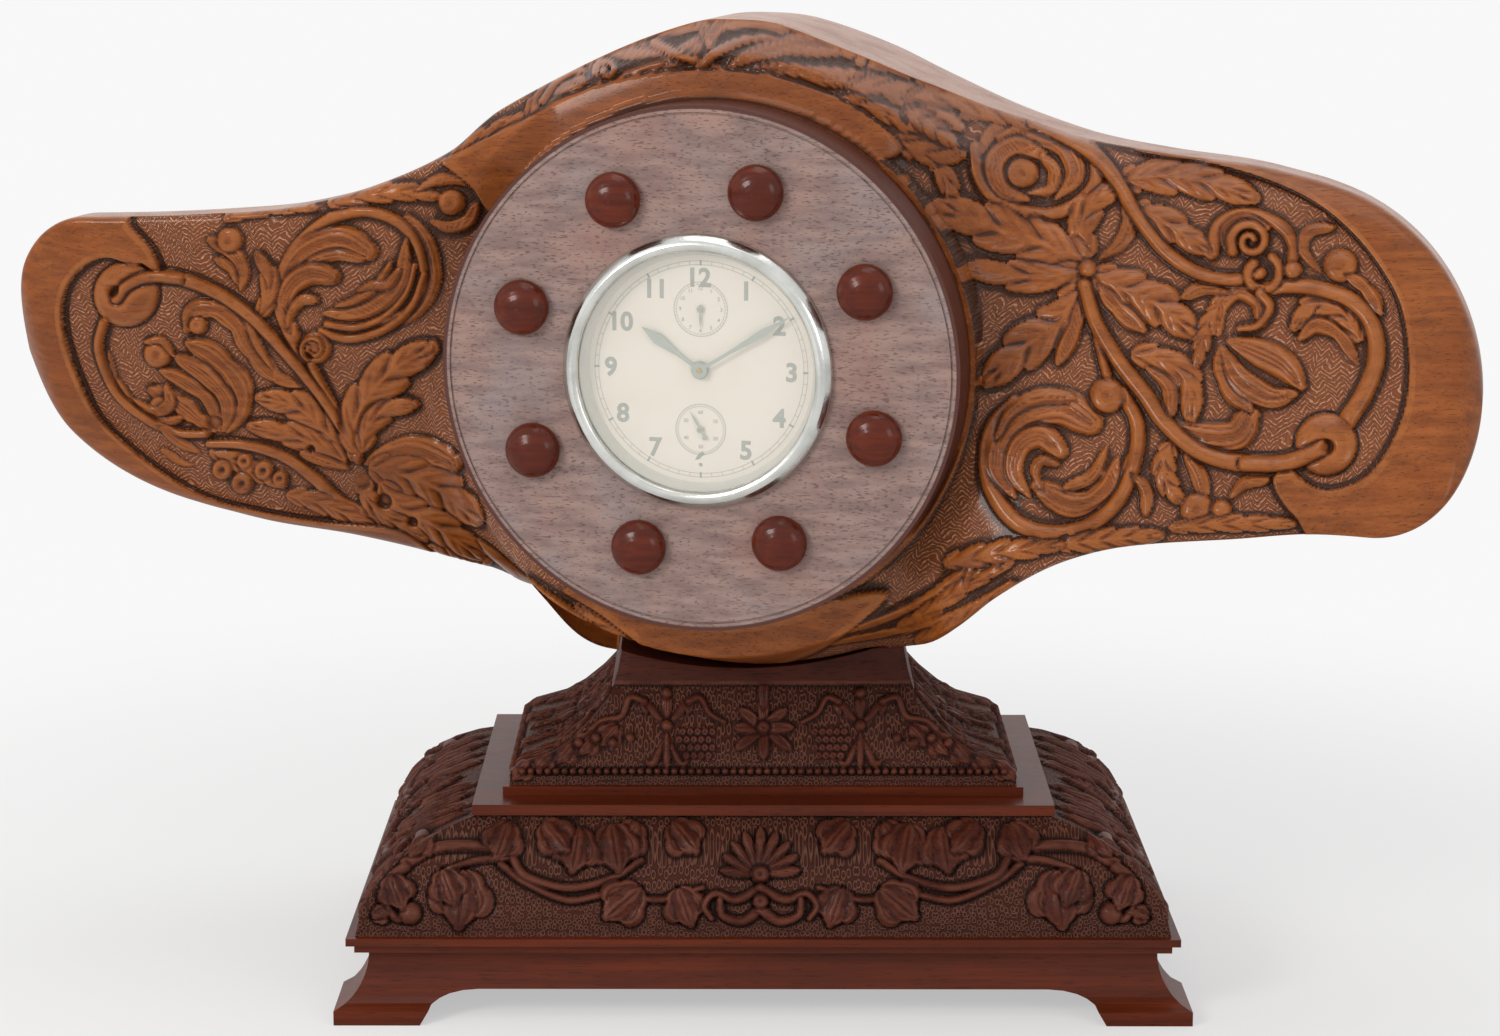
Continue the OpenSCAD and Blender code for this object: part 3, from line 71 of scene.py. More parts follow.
# Propeller form, in mm, as the CAD form has it
HUB_Z = 301.0
HUB_YAW = 12.4
HUB_FRONT = 111.0
BOSS_FRONT = 111.6
HUB_BACK = 60.0
BLADE = 333.0
BLADE_PITCH = 28.0
BLADE_FRONT = 100.0
BAND_R = 133.0
BOSS_FLARE = 0.27
SEAT_R = 115.5
RECESS_R = 63.0
RECESS_LEVEL = 87.0
BORE_R = 52.0
TIP_Z = -9.0
ROUND_HIGH = 78.0
ROUND_LOW = 45.0
BEVEL_L = 14.0
BEVEL_D = 11.0
TOP_EDGE = ((-333, 58), (-270, 59), (-230, 61), (-190, 65), (-150, 76), (-118, 91), (-98, 109),
            (-59, 131), (-20, 146), (0, 147.5), (20, 145.5), (55, 134), (85, 121), (118, 106),
            (150, 96), (190, 90), (230, 86), (270, 78.5), (333, 74))
LOW_EDGE = ((-333, -82), (-270, -86), (-230, -95), (-190, -101), (-150, -111), (-131, -120),
            (-109, -135), (-85, -148), (-60, -154), (0, -158), (60, -145.5), (90, -130), (113, -112),
            (130, -97), (150, -84), (170, -76), (190, -71.5), (230, -67), (270, -63), (333, -66))
ROUND_FRONT = (0.16, 0.08)
ROUND_BACK = (0.6, 0.3)
HUB_ENDS = (70, 150)
LEADING_FLARE = (50, 110)
TRAILING_FLARE = (90, 150)
THICKNESS = ((0, 182), (60, 182), (100, 156), (150, 104), (200, 78), (260, 58), (333, 42))

# Carving of the propeller, in mm: how far round the front the grid goes, and where its parts start
FRONT_HEIGHT = 180.5
FRONT_FROM = 60.0
HUB_SPLIT = 118.0
TIP_ZONE = 16.0
TIP_STATIONS = 22
BORDER_FROM = 100.0
BAND_RISE = 3.9
DISC_LIP = (117.0, 118.4)
BACK_STEP = 2.2
# Raised lip round the disc's seat, in mm: level, rise over it, radius and width
LIP = (0.8, 1.4, 116.9, 0.8)
# The boss's steep flank has flatter carving: radii, distances along the blade, level under the top, share
FLANK_R = (136.0, 148.0)
FLANK_ALONG = (112.0, 124.0)
FLANK_UNDER = 1.6
FLANK_SHARE = 0.4
# Sines of the section's angle over which the carving fades in from both edges
EDGE_FADE = (0.02, 0.12)
# Painted shade on the carving round the disc: its share, the radii over which it ends and its lowest place,
# in mm
HUB_SHADE = 0.10
HUB_SHADE_R = (120.0, 160.0)
HUB_SHADE_FROM = -90.0
# Painted shade in hollows: reach of the surroundings in grid points, depth in mm that counts in full, least
# value
HOLLOW_SHADE_REACH = 4
HOLLOW_SHADE_DEPTH = 1.6
HOLLOW_SHADE_LEAST = 0.15

# Plinth and neck, in mm
BLOCK_FOOT = (185.0, 113.0)
BLOCK_HEAD = (130.5, 82.0)
BLOCK_Z = (39.0, 88.0)
BLOCK_SHAPE = ((0, 0), (.04, .2), (.14, .42), (.31, .64), (.55, .82), (.78, .93), (1, 1))
NECK_FOOT = (117.5, 65.0)
NECK_HEAD = (65.5, 42.0)
NECK_Z = (97.0, 158.0)
NECK_X = ((0, 0), (.01, .11), (.1, .17), (.4, .25), (.58, .35), (.77, .5), (.88, .61), (.96, .82), (1, 1))
NECK_Y = ((0, 0), (.01, .11), (.17, .25), (.5, .46), (.8, .7), (.95, .9), (1, 1))
SADDLE_R = 200.0
SADDLE_Z = 148.0
SADDLE_PAST = (3.0, 5.0)
# Carving of both: share of the grid step, sunk ground in mm, share of the rise, rows of points
BLOCK_CARVING = (0.9, 1.2, 1.0, 96)
NECK_CARVING = (0.8, 0.8, 0.8, 130)
# How far it fades in from the corners, the foot and the head, in mm
FADE_IN = (5.0, 1.5, 1.0)

# Dial, in mm on the dial's frame
DIAL_LEVEL = 131.0
FASCIA_RIM = 113.4
FASCIA_FRONT = 137.0
BEZEL_BORE = 54.1
BEZEL_SEAT = 3.5
BEZEL_ROLL = ((60, 0.8), (60, 1.6), (59.6, 2.6), (59, 3.4), (58, 4.5), (57, 5.4), (55.4, 5.98),
              (53.6, 5.5), (52.9, 4.7), (52.6, 3.8))
PRINT_LIFT = 0.06
TRACK_R = 47.5
TRACK_WIDE = 1.7
TRACK_LINE = 0.11
NUMERAL_R = 40.3
NUMERAL = (11.2, 0.034)
HOUR_MARK = (2.4, 0.45)

# Small dials: height of their centres, then radius, figures' radius and size, and count of marks
SUB_R = 26.4
ALARM_FACE = (11.9, 9.2, 2.3, 48)
SECONDS_FACE = (11.2, 7.6, 2.2, 60)
FACE_LINES = (0.13, 0.08)
FACE_MARK = (1.1, 0.1)

# Heights of the bump fields, in mm
PLAIN_BUMP = 0.12
CARVED_BUMP = 0.35
METAL_BUMP = 0.05
PAPER_BUMP = 0.01

# Stage: name, place in metres, size in metres, power in watts and tint of each lamp
LAMPS = (("key", (-1.5, -1.7, 1.3), 0.7, 22, (1, 0.98, 0.95)),
         ("fill", (1.4, -1.9, 0.9), 0.8, 5, (0.97, 0.98, 1)),
         ("top", (0.1, -0.2, 2.2), 1.2, 8, (1, 1, 1)))
LAMP_TARGET = (0, 0, 0.25)
FLOOR = ((-20, -6, 0), (20, -6, 0), (20, 30, 0), (-20, 30, 0))
WORLD_LIGHT = 0.58


# Curves and sheets


def hermite(table, x):
    """Smooth curve through the points of a table, with central-difference slopes."""
    t = np.array(table, float)
    x = np.asarray(x, float)
    slope = np.gradient(t[:, 1], t[:, 0], edge_order=1)
    slope[1:-1] = (t[2:, 1] - t[:-2, 1]) / (t[2:, 0] - t[:-2, 0])
    i = np.clip(np.searchsorted(t[:, 0], x, side="right") - 1, 0, len(t) - 2)
    h = t[i + 1, 0] - t[i, 0]
    s = (x - t[i, 0]) / h
    return ((2 * s**3 - 3 * s**2 + 1) * t[i, 1] + (s**3 - 2 * s**2 + s) * h * slope[i]
            + (3 * s**2 - 2 * s**3) * t[i + 1, 1] + (s**3 - s**2) * h * slope[i + 1])


def ease(a, b, x):
    """0 below a, 1 above b, and smooth between."""
    s = np.clip((np.asarray(x, float) - a) / (b - a), 0, 1)
    return s * s * (3 - 2 * s)


def mix(a, b, w):
    """a where w is 0 and b where it is 1."""
    return a * (1 - w) + b * w


def camera_axes():
    """Right, up and forward of the camera as unit vectors."""
    yaw, pitch, roll = (math.radians(v) for v in (CAMERA_YAW, CAMERA_PITCH, CAMERA_ROLL))
    forward = np.array([math.sin(yaw) * math.cos(pitch), math.cos(yaw) * math.cos(pitch), -math.sin(pitch)])
    level = np.array([math.cos(yaw), -math.sin(yaw), 0.0])
    above = np.cross(level, forward)
    right = math.cos(roll) * level + math.sin(roll) * above
    up = -math.sin(roll) * level + math.cos(roll) * above
    return right, up, forward


def on_sheet(points):
    """Where the camera sees points (mm), in picture units from the top left."""
    right, up, forward = camera_axes()
    d = points - CAMERA_AT
    scale = PICTURE[0] * LENS / SENSOR / (d @ forward)
    return np.stack([PICTURE[0] / 2 + scale * (d @ right), PICTURE[1] / 2 - scale * (d @ up)], -1)


def spun(points, degrees):
    """Points turned about the vertical."""
    c, s = math.cos(math.radians(degrees)), math.sin(math.radians(degrees))
    x, y, z = (points[..., k] for k in range(3))
    return np.stack([x * c - y * s, x * s + y * c, z], -1)


def hub_to_world(r, off, z):
    """Points given along the blades, toward the front and above the axis, turned with the hub."""
    return spun(np.stack([r, -off, z + HUB_Z], -1), -HUB_YAW)


def seat_height(points):
    """Height of the saddle's hollow at each point: a circle across the hub's width."""
    r = spun(points, HUB_YAW)[..., 0]
    return SADDLE_Z + SADDLE_R - np.sqrt(np.maximum(SADDLE_R**2 - r**2, 0))


def spline(points, steps=9):
    """Catmull-Rom curve through the points of a stroke."""
    p = np.array(points, float)
    if len(p) < 3:
        return p
    p = np.vstack([2 * p[0] - p[1], p, 2 * p[-1] - p[-2]])
    t = np.linspace(0, 1, steps, endpoint=False)[:, None]
    parts = [0.5 * (2 * b + (c - a) * t + (2 * a - 5 * b + 4 * c - d) * t**2
                    + (3 * b - a - 3 * c + d) * t**3)
             for a, b, c, d in zip(p[:-3], p[1:-2], p[2:-1], p[3:])]
    return np.vstack(parts + [p[-2:-1]])


def spiral(x, y, r0, r1, start, turns, count=14):
    """Points of a spiral round (x, y), from radius r0 at angle start (degrees) to radius r1."""
    k = np.linspace(0, 1, count)
    a = np.radians(start + 360 * turns * k)
    r = r0 + (r1 - r0) * k
    return list(zip(x + r * np.cos(a), y + r * np.sin(a)))


class Carving:
    """Heights of a relief over sheet points; later marks lie over earlier ones and cut their edges in.

    height is in mm over the sunk ground. plain is 1 where a mark or a plain band stands, and 0 on the
    ground.
    """

    MARGIN = 7  # how far round a mark its cut edge is worked out, in sheet units
    MOAT = 1.6  # width of the cut edge, in sheet units
    SINK = 0.55  # share of what lies under a mark that may still stand through it

    def __init__(self, at):
        self.at = at
        self.height = np.zeros(len(at))
        self.plain = np.zeros(len(at))
        self.use(1.0, (0, 0))

    def use(self, scale, origin):
        """Marks that follow are given on a grid with this scale and origin."""
        self.scale = scale
        self.origin = np.array(origin, float)

    def place(self, points):
        """Grid points on the sheet."""
        return np.array(points, float) / self.scale + self.origin

    def at_sheet(self):
        """The points in the sheet's own units."""
        return (self.at - self.origin) * self.scale

    def near(self, curve, reach):
        """Indices of the points near a curve, their distance (left positive) and place along (0 to 1)."""
        low, high = curve.min(0) - reach, curve.max(0) + reach
        found = np.nonzero(((self.at > low) & (self.at < high)).all(1))[0]
        p = self.at[found]
        a, d = curve[:-1], np.diff(curve, axis=0)
        size = (d**2).sum(1) + 1e-9
        rel = p[:, None] - a
        t = np.clip((rel * d).sum(2) / size, 0, 1)
        away = rel - t[..., None] * d
        gap = (away**2).sum(2)
        best = gap.argmin(1)
        row = np.arange(len(found))
        side = np.sign(d[best, 0] * away[row, best, 1] - d[best, 1] * away[row, best, 0])
        run = np.concatenate([[0], np.cumsum(np.sqrt(size))])
        s = (run[best] + t[row, best] * np.sqrt(size)[best]) / run[-1]
        return found, np.sqrt(gap[row, best]) * np.where(side < 0, 1, -1), s

    def lay(self, found, past, height, cut):
        """Puts a mark on: past is the distance outside its edge (negative inside)."""
        inside = past < 0
        moat = np.exp(-np.maximum(past, 0) / self.MOAT) * cut
        now = self.height[found] - np.where(inside, 0, moat)
        self.height[found] = np.where(inside, np.maximum(now * self.SINK, height), now)
        self.plain[found] = np.maximum(self.plain[found], inside)

    def stem(self, points, width, rise=3.6, cut=1.3, flat=0.5):
        """A rounded rib along the points; width is its half width, or one at each end.

        Its height is the rise times a power of one less the square of the share of the half width.
        """
        curve = spline(self.place(points))
        ends = np.atleast_1d(width) / self.scale
        found, d, s = self.near(curve, ends.max() + self.MARGIN)
        w = np.interp(s, np.linspace(0, 1, len(ends)), ends)
        past = np.abs(d) - w
        self.lay(found, past, rise * np.clip(1 - (d / w)**2, 0, 1)**flat, cut)

    def leaf(self, points, width, rise=3.8, ribs=2, lobes=0, cut=1.3, tip=0.35):
        """A leaf along the points, with flutes along it and scalloped edges.

        Its half width grows with the root of the place along it and closes over the tip. The flutes
        are a cosine across the leaf, and a narrow vein runs down the middle.
        """
        curve = spline(self.place(points))
        half = width / self.scale
        found, d, s = self.near(curve, half + self.MARGIN)
        w = half * (np.clip(s, 0, 1)**0.55 * np.clip(1.02 - s, 0, 1)**tip) * 1.25
        if lobes:
            w = w * (0.74 + 0.26 * np.abs(np.sin(np.pi * lobes * s**0.9)))
        w = np.maximum(w, 0.4)
        y = d / w
        past = np.abs(d) - w
        flutes = 0.66 + 0.34 * np.abs(np.cos(np.pi * ribs * y * (0.6 + 0.4 * s)))
        vein = 1 - 0.35 * np.exp(-(y / 0.1)**2)
        crown = np.clip(1 - y**2, 0, 1)**0.4
        self.lay(found, past, rise * (0.62 + 0.38 * s) * crown * flutes * vein, cut)

    def frond(self, points, width, lobes=3, rise=4.0, sweep=1.0):
        """An acanthus leaf: rounded lobes swept forward from a midrib, with a groove between each two.

        A point's lobe number is its place along the leaf times the count, less the sweep times its
        distance out. The edge and the face swell with the sine of that number.
        """
        curve = spline(self.place(points))
        half = width / self.scale
        found, d, s = self.near(curve, half * 1.4 + 6)
        reach = half * 1.3 * np.clip(s, 0, 1)**0.35 * np.clip(1.03 - s, 0, 1)**0.45
        y = np.abs(d) / np.maximum(reach, 0.4)
        number = lobes * s * 1.15 - sweep * y
        swell = np.abs(np.sin(np.pi * number))
        past = np.abs(d) - np.maximum(reach * (0.66 + 0.34 * swell**0.7), 0.4)
        face = 0.50 + 0.50 * swell**0.6 - 0.13 * np.exp(-((number % 1 - 0.5) / 0.1)**2)
        face = mix(face, 1.0, np.exp(-(y / 0.13)**2))
        crown = np.clip(1 - (y / 1.02)**3, 0, 1)**0.5
        self.lay(found, past, rise * (0.62 + 0.38 * s**0.5) * crown * face, 1.0)

    def ball(self, x, y, r, rise=3.6, cut=1.5, dent=0.0):
        """A round boss, half a sphere flattened to the rise, or a cup where it has a dent."""
        c = self.place((x, y))
        half = r / self.scale
        found = np.nonzero((np.abs(self.at - c) < half + self.MARGIN).all(1))[0]
        d = np.hypot(*(self.at[found] - c).T)
        top = np.clip(1 - (d / half)**2, 0, 1)**0.5 - dent * np.exp(-(d / half / 0.4)**2)
        self.lay(found, d - half, rise * top, cut)

    def hole(self, x, y, r, depth=3.0):
        """A drilled eye."""
        c = self.place((x, y))
        half = r / self.scale
        d = np.hypot(*(self.at - c).T)
        self.height -= depth * np.exp(-(d / half)**4)

    def region(self, outline):
        """Distance of every point outside a closed outline, negative inside."""
        curve = spline(self.place(list(outline) + [outline[0]]), 6)
        a, b = curve[:-1], curve[1:]
        x, y = self.at.T
        inside = np.zeros(len(x), bool)
        gap = np.full(len(x), 1e9)
        for p, q in zip(a, b):
            if p[1] != q[1]:
                crossing = (p[1] > y) != (q[1] > y)
                inside ^= crossing & (x < (q[0] - p[0]) * (y - p[1]) / (q[1] - p[1]) + p[0])
            d = q - p
            t = np.clip(((self.at - p) @ d) / (d @ d + 1e-9), 0, 1)
            gap = np.minimum(gap, ((self.at - p - t[:, None] * d)**2).sum(1))
        return np.where(inside, -1, 1) * np.sqrt(gap)

    def table(self, past, height, edge):
        """A level plateau where past is positive, with a crisp edge."""
        up = ease(-edge * 0.6, edge * 0.4, past)
        moat = np.exp(-np.abs(past) / 3.0) * (past < 0) * 0.8
        self.height = np.maximum(self.height * (1 - up), height * up) - moat * (1 - up)
        self.plain = np.maximum(self.plain, up)


def propeller_grid(r, a):
    """The CAD form over stations r and angles a (degrees): along, toward the front, height.

    The height is the cosine of the angle between the section's edges. The depth is a power of the sine
    of the angle to both sides of the section's middle, and the hub's face falls off past the band's
    radius.
    """
    r, a = np.meshgrid(np.asarray(r, float), np.radians(a), indexing="ij")
    left = BLADE - np.abs(r)
    right_side = r > 0

    def closing(e):
        return np.where(left >= e, 1, np.sqrt(np.clip(1 - ((e - left) / e)**2, 0, 1)))

    hi = mix(TIP_Z, hermite(TOP_EDGE, r), closing(np.where(right_side, ROUND_HIGH, ROUND_LOW)))
    lo = mix(TIP_Z, hermite(LOW_EDGE, r), closing(np.where(right_side, ROUND_LOW, ROUND_HIGH)))
    thick = hermite(THICKNESS, np.abs(r))
    w = 1 - ease(*HUB_ENDS, np.abs(r))
    z = (hi + lo) / 2 + (hi - lo) / 2 * np.cos(a)
    s = np.abs(np.sin(a))
    side = np.where(right_side, 1, -1)
    face = mix(BLADE_FRONT - side * math.tan(math.radians(BLADE_PITCH)) * z, BOSS_FRONT, w)
    middle = face - thick / 2
    fore = middle + thick / 2 * s**mix(*ROUND_FRONT, w)
    leading = r * z < 0
    near_w = 1 - np.where(leading, ease(*LEADING_FLARE, np.abs(r)), ease(*TRAILING_FLARE, np.abs(r)))
    over = np.maximum(0, np.hypot(r, z) - BAND_R)
    fore = mix(fore, np.minimum(fore, BOSS_FRONT - over / BOSS_FLARE), near_w)
    fore = fore - BEVEL_D * (1 - np.clip(left / BEVEL_L, 0, 1))**2
    aft = middle - thick / 2 * s**mix(*ROUND_BACK, w)
    front = np.sin(a) >= 0
    off = np.where(front, np.maximum(fore, (middle + aft) / 2), aft)
    return r, np.maximum(off, -HUB_BACK), z


def seated(points):
    """Raises what reaches below the saddle seat to the seat."""
    over_neck = ((np.abs(points[..., 0]) < NECK_HEAD[0] + SADDLE_PAST[0])
                 & (np.abs(points[..., 1]) < NECK_HEAD[1] + SADDLE_PAST[1]))
    out = points.copy()
    out[..., 2] = np.where(over_neck, np.maximum(points[..., 2], seat_height(points)), points[..., 2])
    return out


# Meshes


def quads(rows, cols, flip=False):
    """Faces of a grid of rows by cols points."""
    i = np.arange(rows - 1)[:, None] * cols + np.arange(cols - 1)
    order = (i, i + 1, i + cols + 1, i + cols)
    if flip:
        order = order[::-1]
    return np.stack(order, -1).reshape(-1, 4)


def fitted(name, mesh, look):
    """An object of the mesh with a material, riding on the clock's body."""
    mesh.materials.append(bpy.data.materials[look])
    made = bpy.data.objects.new(name, mesh)
    bpy.context.scene.collection.objects.link(made)
    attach(made, "clock_body")
    return made


def piece(name, points, faces, look, marks=None, smooth=True):
    """A mesh object from points in mm on the clock's body, with point attributes from marks."""
    used = np.unique(faces)
    back = np.full(len(points), -1)
    back[used] = np.arange(len(used))
    mesh = bpy.data.meshes.new(name)
    mesh.from_pydata((points[used] * MM).tolist(), [], back[faces].tolist())
    for key, values in (marks or {}).items():
        values = np.asarray(values)[used]
        kind = "FLOAT" if values.ndim == 1 else "FLOAT_VECTOR"
        field = "value" if values.ndim == 1 else "vector"
        mesh.attributes.new(key, kind, "POINT").data.foreach_set(field, values.astype(np.float32).ravel())
    mesh.polygons.foreach_set("use_smooth", [smooth] * len(mesh.polygons))
    mesh.update()
    return fitted(name, mesh, look)


def blurred(field, reach):
    """A grid of values averaged over a square of half width reach."""
    padded = np.pad(field, reach, mode="edge")
    total = np.pad(padded.cumsum(0).cumsum(1), ((1, 0), (1, 0)))
    n = 2 * reach + 1
    return (total[n:, n:] - total[:-n, n:] - total[n:, :-n] + total[:-n, :-n]) / n**2


def dirt_of(height):
    """How far each point of a height grid lies below its surroundings, 0 to 1: the amount of painted shade
    in the hollows.
    """
    return np.clip((blurred(height, HOLLOW_SHADE_REACH) - height) / HOLLOW_SHADE_DEPTH + HOLLOW_SHADE_LEAST, 0, 1)


# Materials


class Wire:
    """A socket that adds, subtracts and multiplies as a number does."""

    def __init__(self, shade, socket):
        self.shade = shade
        self.socket = socket

    def _math(self, operation, a, b):
        return self.shade.node("Math", {0: a, 1: b}, operation=operation)

    def __add__(self, other):
        return self._math("ADD", self, other)

    __radd__ = __add__

    def __sub__(self, other):
        return self._math("SUBTRACT", self, other)

    def __rsub__(self, other):
        return self._math("SUBTRACT", other, self)

    def __mul__(self, other):
        return self._math("MULTIPLY", self, other)

    __rmul__ = __mul__

    def over(self, low, high):
        """Smoothly 0 at low and 1 at high."""
        return self.shade.node("MapRange", {"Value": self, "From Min": low, "From Max": high},
                               interpolation_type="SMOOTHSTEP")


class Shade:
    """The nodes of one material, or of the world."""

    def __init__(self, name, world=None):
        self.material = world or bpy.data.materials.get(name) or bpy.data.materials.new(name)
        self.material.use_nodes = True
        self.tree = self.material.node_tree
        self.tree.nodes.clear()

    def node(self, kind, values=None, output=0, **settings):
        """Makes a node with settings and values or wires on its inputs, and gives one output as a wire."""
        made = self.tree.nodes.new("ShaderNode" + kind)
        for key, value in settings.items():
            setattr(made, key, value)
        for key, value in (values or {}).items():
            if isinstance(value, Wire):
                self.tree.links.new(value.socket, made.inputs[key])
            else:
                made.inputs[key].default_value = value
        return Wire(self, made.outputs[output]) if made.outputs else None

    def attribute(self, name, output):
        """A point attribute of the piece."""
        return self.node("Attribute", output=output, attribute_name=name)

    def place(self, scale, turn=(0, 0, 0)):
        """Object coordinates, turned and scaled."""
        at = self.node("TexCoord", output="Object")
        return self.node("Mapping", {"Vector": at, "Rotation": turn, "Scale": scale})

    def noise(self, vector, scale, detail=3.0, rough=0.55):
        """Fractal noise from 0 to 1."""
        return self.node("TexNoise", {"Vector": vector, "Scale": scale, "Detail": detail,
                                      "Roughness": rough})

    def even_noise(self, waves, detail=3.0, rough=0.55):
        """Noise with the same number of waves per metre all ways."""
        return self.noise(self.place((waves, waves, waves)), 1.0, detail, rough)

    def mixed(self, factor, a, b):
        """Colour a turned into colour b by factor."""
        return self.node("Mix", {"Factor": factor, 6: a, 7: b}, 2, data_type="RGBA")

    def bump(self, height, depth):
        """Surface normal bent by a height field, depth in mm."""
        return self.node("Bump", {"Height": height, "Strength": 1.0, "Distance": depth * MM})

    def surface(self, **values):
        """Ends the material in a Principled surface; names use underscores for spaces."""
        values = {key.replace("_", " "): value for key, value in values.items()}
        return self.ends_in(self.node("BsdfPrincipled", values))

    def ends_in(self, shader, output="OutputMaterial"):
        """Links a shader to the output."""
        self.node(output, {"Surface": shader})
        return self.material


def linear(text):
    """A colour as seen on screen (hex) in the scene's linear values."""
    parts = [int(text[i:i + 2], 16) / 255 for i in (0, 2, 4)]
    return [c / 12.92 if c <= 0.04045 else ((c + 0.055) / 1.055)**2.4 for c in parts]


def rgb(colour):
    """Socket values of a colour, given in hex or as the three values of a setting."""
    return (*(linear(colour) if isinstance(colour, str) else colour), 1.0)


def grain(shade, turn, along=9.0, across=260.0):
    """Streaks and pores of a wood whose fibres run along X after the turn."""
    flow = shade.place((along, across, across), turn)
    streaks = shade.noise(flow, 1.0, 4.0, 0.6)
    pores = shade.noise(shade.place((along * 11, across * 8, across * 8), turn), 1.0, 2.0, 0.5)
    return streaks, pores.over(0.60, 0.72)


def wood(name, light, dark, deep, rough, coat, turn=(0, 0, 0), pore=0.5, tint=None, carved=None):
    """A finished wood: streaks between light and dark, pores, and painted shade in the hollows of a carving.

    carved holds the marks of the sunk ground and the colours of ground, flecks and raised tops, where wear
    and a painted highlight lighten the wood.
    """
    shade = Shade(name)
    streaks, pores = grain(shade, turn)
    clouds = shade.noise(shade.place((9, 17, 17), turn), 1.0, 3.0)
    mottle = shade.noise(shade.place((60, 60, 60), turn), 1.0, 4.0, 0.7)
    base = shade.mixed(streaks.over(0.30, 0.72) * 0.7 + mottle * 0.3, rgb(dark), rgb(light))
    base = shade.mixed(clouds.over(0.40, 0.70) * 0.5, base, rgb(dark))
    base = shade.mixed(mottle.over(0.56, 0.72) * 0.14, base, rgb(deep))
    rub = shade.even_noise(45, 4.0, 0.65)
    if tint is not None:
        base = shade.mixed(rub.over(0.42, 0.64) * 0.4, base, rgb(tint))
    base = shade.mixed(pores * pore, base, rgb(deep))
    height = streaks * 0.12 - pores * 0.5
    roughness = rough + 0.10 * streaks + 0.10 * mottle
    if carved:
        marks_of, ground_colour, fleck_colour, wear_and_highlight_colour = carved
        hollow_shade, plain = (shade.attribute(key, "Fac") for key in ("hollow_shade", "plain"))
        ground = 1.0 - plain
        flecks = ground * marks_of(shade)
        base = shade.mixed(ground * 0.55, base, rgb(ground_colour))
        base = shade.mixed(flecks * 0.9, base, rgb(fleck_colour))
        # Wear and painted highlight: raised tops, away from the hollows, turn lighter in rubbed patches
        wear_and_highlight = (1.0 - hollow_shade.over(0.0, 0.13)) * rub.over(0.3, 0.6)
        base = shade.mixed(wear_and_highlight * 0.5, base, rgb(wear_and_highlight_colour))
        # Painted shade: the hollows of the carving turn to the deep colour
        base = shade.mixed(hollow_shade.over(0.17, 0.75) * 0.85, base, rgb(deep))
        height = height + flecks * 3.2
        roughness = roughness + ground * 0.15 + hollow_shade * 0.15 - wear_and_highlight * 0.08
    depth = CARVED_BUMP if carved else PLAIN_BUMP
    return shade.surface(Base_Color=base, Roughness=roughness, Normal=shade.bump(height, depth),
                         Coat_Weight=coat, Coat_Roughness=0.12, Specular_IOR_Level=0.15)


def herringbone(shade):
    """Rows of slanted tool marks, leaning left and right by turns, on the sheet."""
    at = shade.attribute("sheet", "Vector")
    sway = shade.noise(at, 0.035, 2.0)
    x, z = (shade.node("SeparateXYZ", {0: at}, k) for k in (0, 1))
    across = x + (sway - 0.5) * 26.0
    up = z + (sway - 0.5) * 9.0 + shade.noise(at, 0.35, 2.0) * 2.2
    zigzag = shade.node("Math", {0: across, 1: 3.6}, operation="PINGPONG")
    wave = shade.node("Math", {0: (up + zigzag * 0.95) * 3.0}, operation="SINE")
    broken = shade.noise(at, 0.75, 2.0).over(0.38, 0.52)
    return wave.over(-0.1, 0.75) * (0.25 + 0.75 * broken)


def ring_punch(shade):
    """A ground of small punched rings."""
    at = shade.attribute("sheet", "Vector")
    cell = shade.node("TexVoronoi", {"Vector": at, "Scale": 0.42, "Randomness": 0.55}, "Distance",
                      voronoi_dimensions="2D")
    away = shade.node("Math", {0: cell - 0.36}, operation="ABSOLUTE")
    return 1.0 - away.over(0.05, 0.2)


def from_axis(shade):
    """Distance from the dial's axis in mm."""
    at = shade.node("TexCoord", output="Object")
    turn = math.radians(HUB_YAW)
    level = shade.node("VectorRotate", {"Vector": at, "Angle": turn}, rotation_type="Z_AXIS")
    flat = shade.node("VectorMath", {0: level, 1: (1, 0, 1)}, operation="MULTIPLY")
    off = shade.node("VectorMath", {0: flat, 1: (0, 0, HUB_Z * MM)}, operation="SUBTRACT")
    return shade.node("VectorMath", {0: off}, "Value", operation="LENGTH") * 1000.0


def fascia_wood(looks, turn):
    """Dull mahogany with short dark flecks lying across the disc and a bluish and pinkish bloom."""
    shade = Shade("fascia_mahogany")
    streaks = shade.noise(shade.place((14, 240, 240), turn), 1.0, 4.0)
    flecks = shade.noise(shade.place((230, 1500, 1500), turn), 1.0, 2.0, 0.4).over(0.585, 0.66)
    bands = shade.noise(shade.place((18, 50, 50), turn), 1.0, 2.0)
    bloom = shade.noise(shade.place((26, 26, 26), turn), 1.0, 3.0)
    rim = from_axis(shade).over(FASCIA_RIM - 0.4, FASCIA_RIM + 0.2)
    base = shade.mixed(streaks.over(0.3, 0.7), rgb(looks.disc_dark), rgb(looks.disc_light))
    base = shade.mixed(bloom.over(0.5, 0.72) * 0.4, base, rgb("8b8286"))
    base = shade.mixed((1.0 - bloom).over(0.5, 0.72) * 0.4, base, rgb("a37468"))
    base = shade.mixed(flecks * (0.25 + 0.6 * bands), base, rgb(looks.disc_deep))
    base = shade.mixed(rim, base, rgb("4c2217"))
    return shade.surface(Base_Color=base, Roughness=0.42 + 0.12 * streaks, Specular_IOR_Level=0.4,
                         Normal=shade.bump(streaks * 0.1 - flecks * 0.6, PLAIN_BUMP), Coat_Weight=0.08)


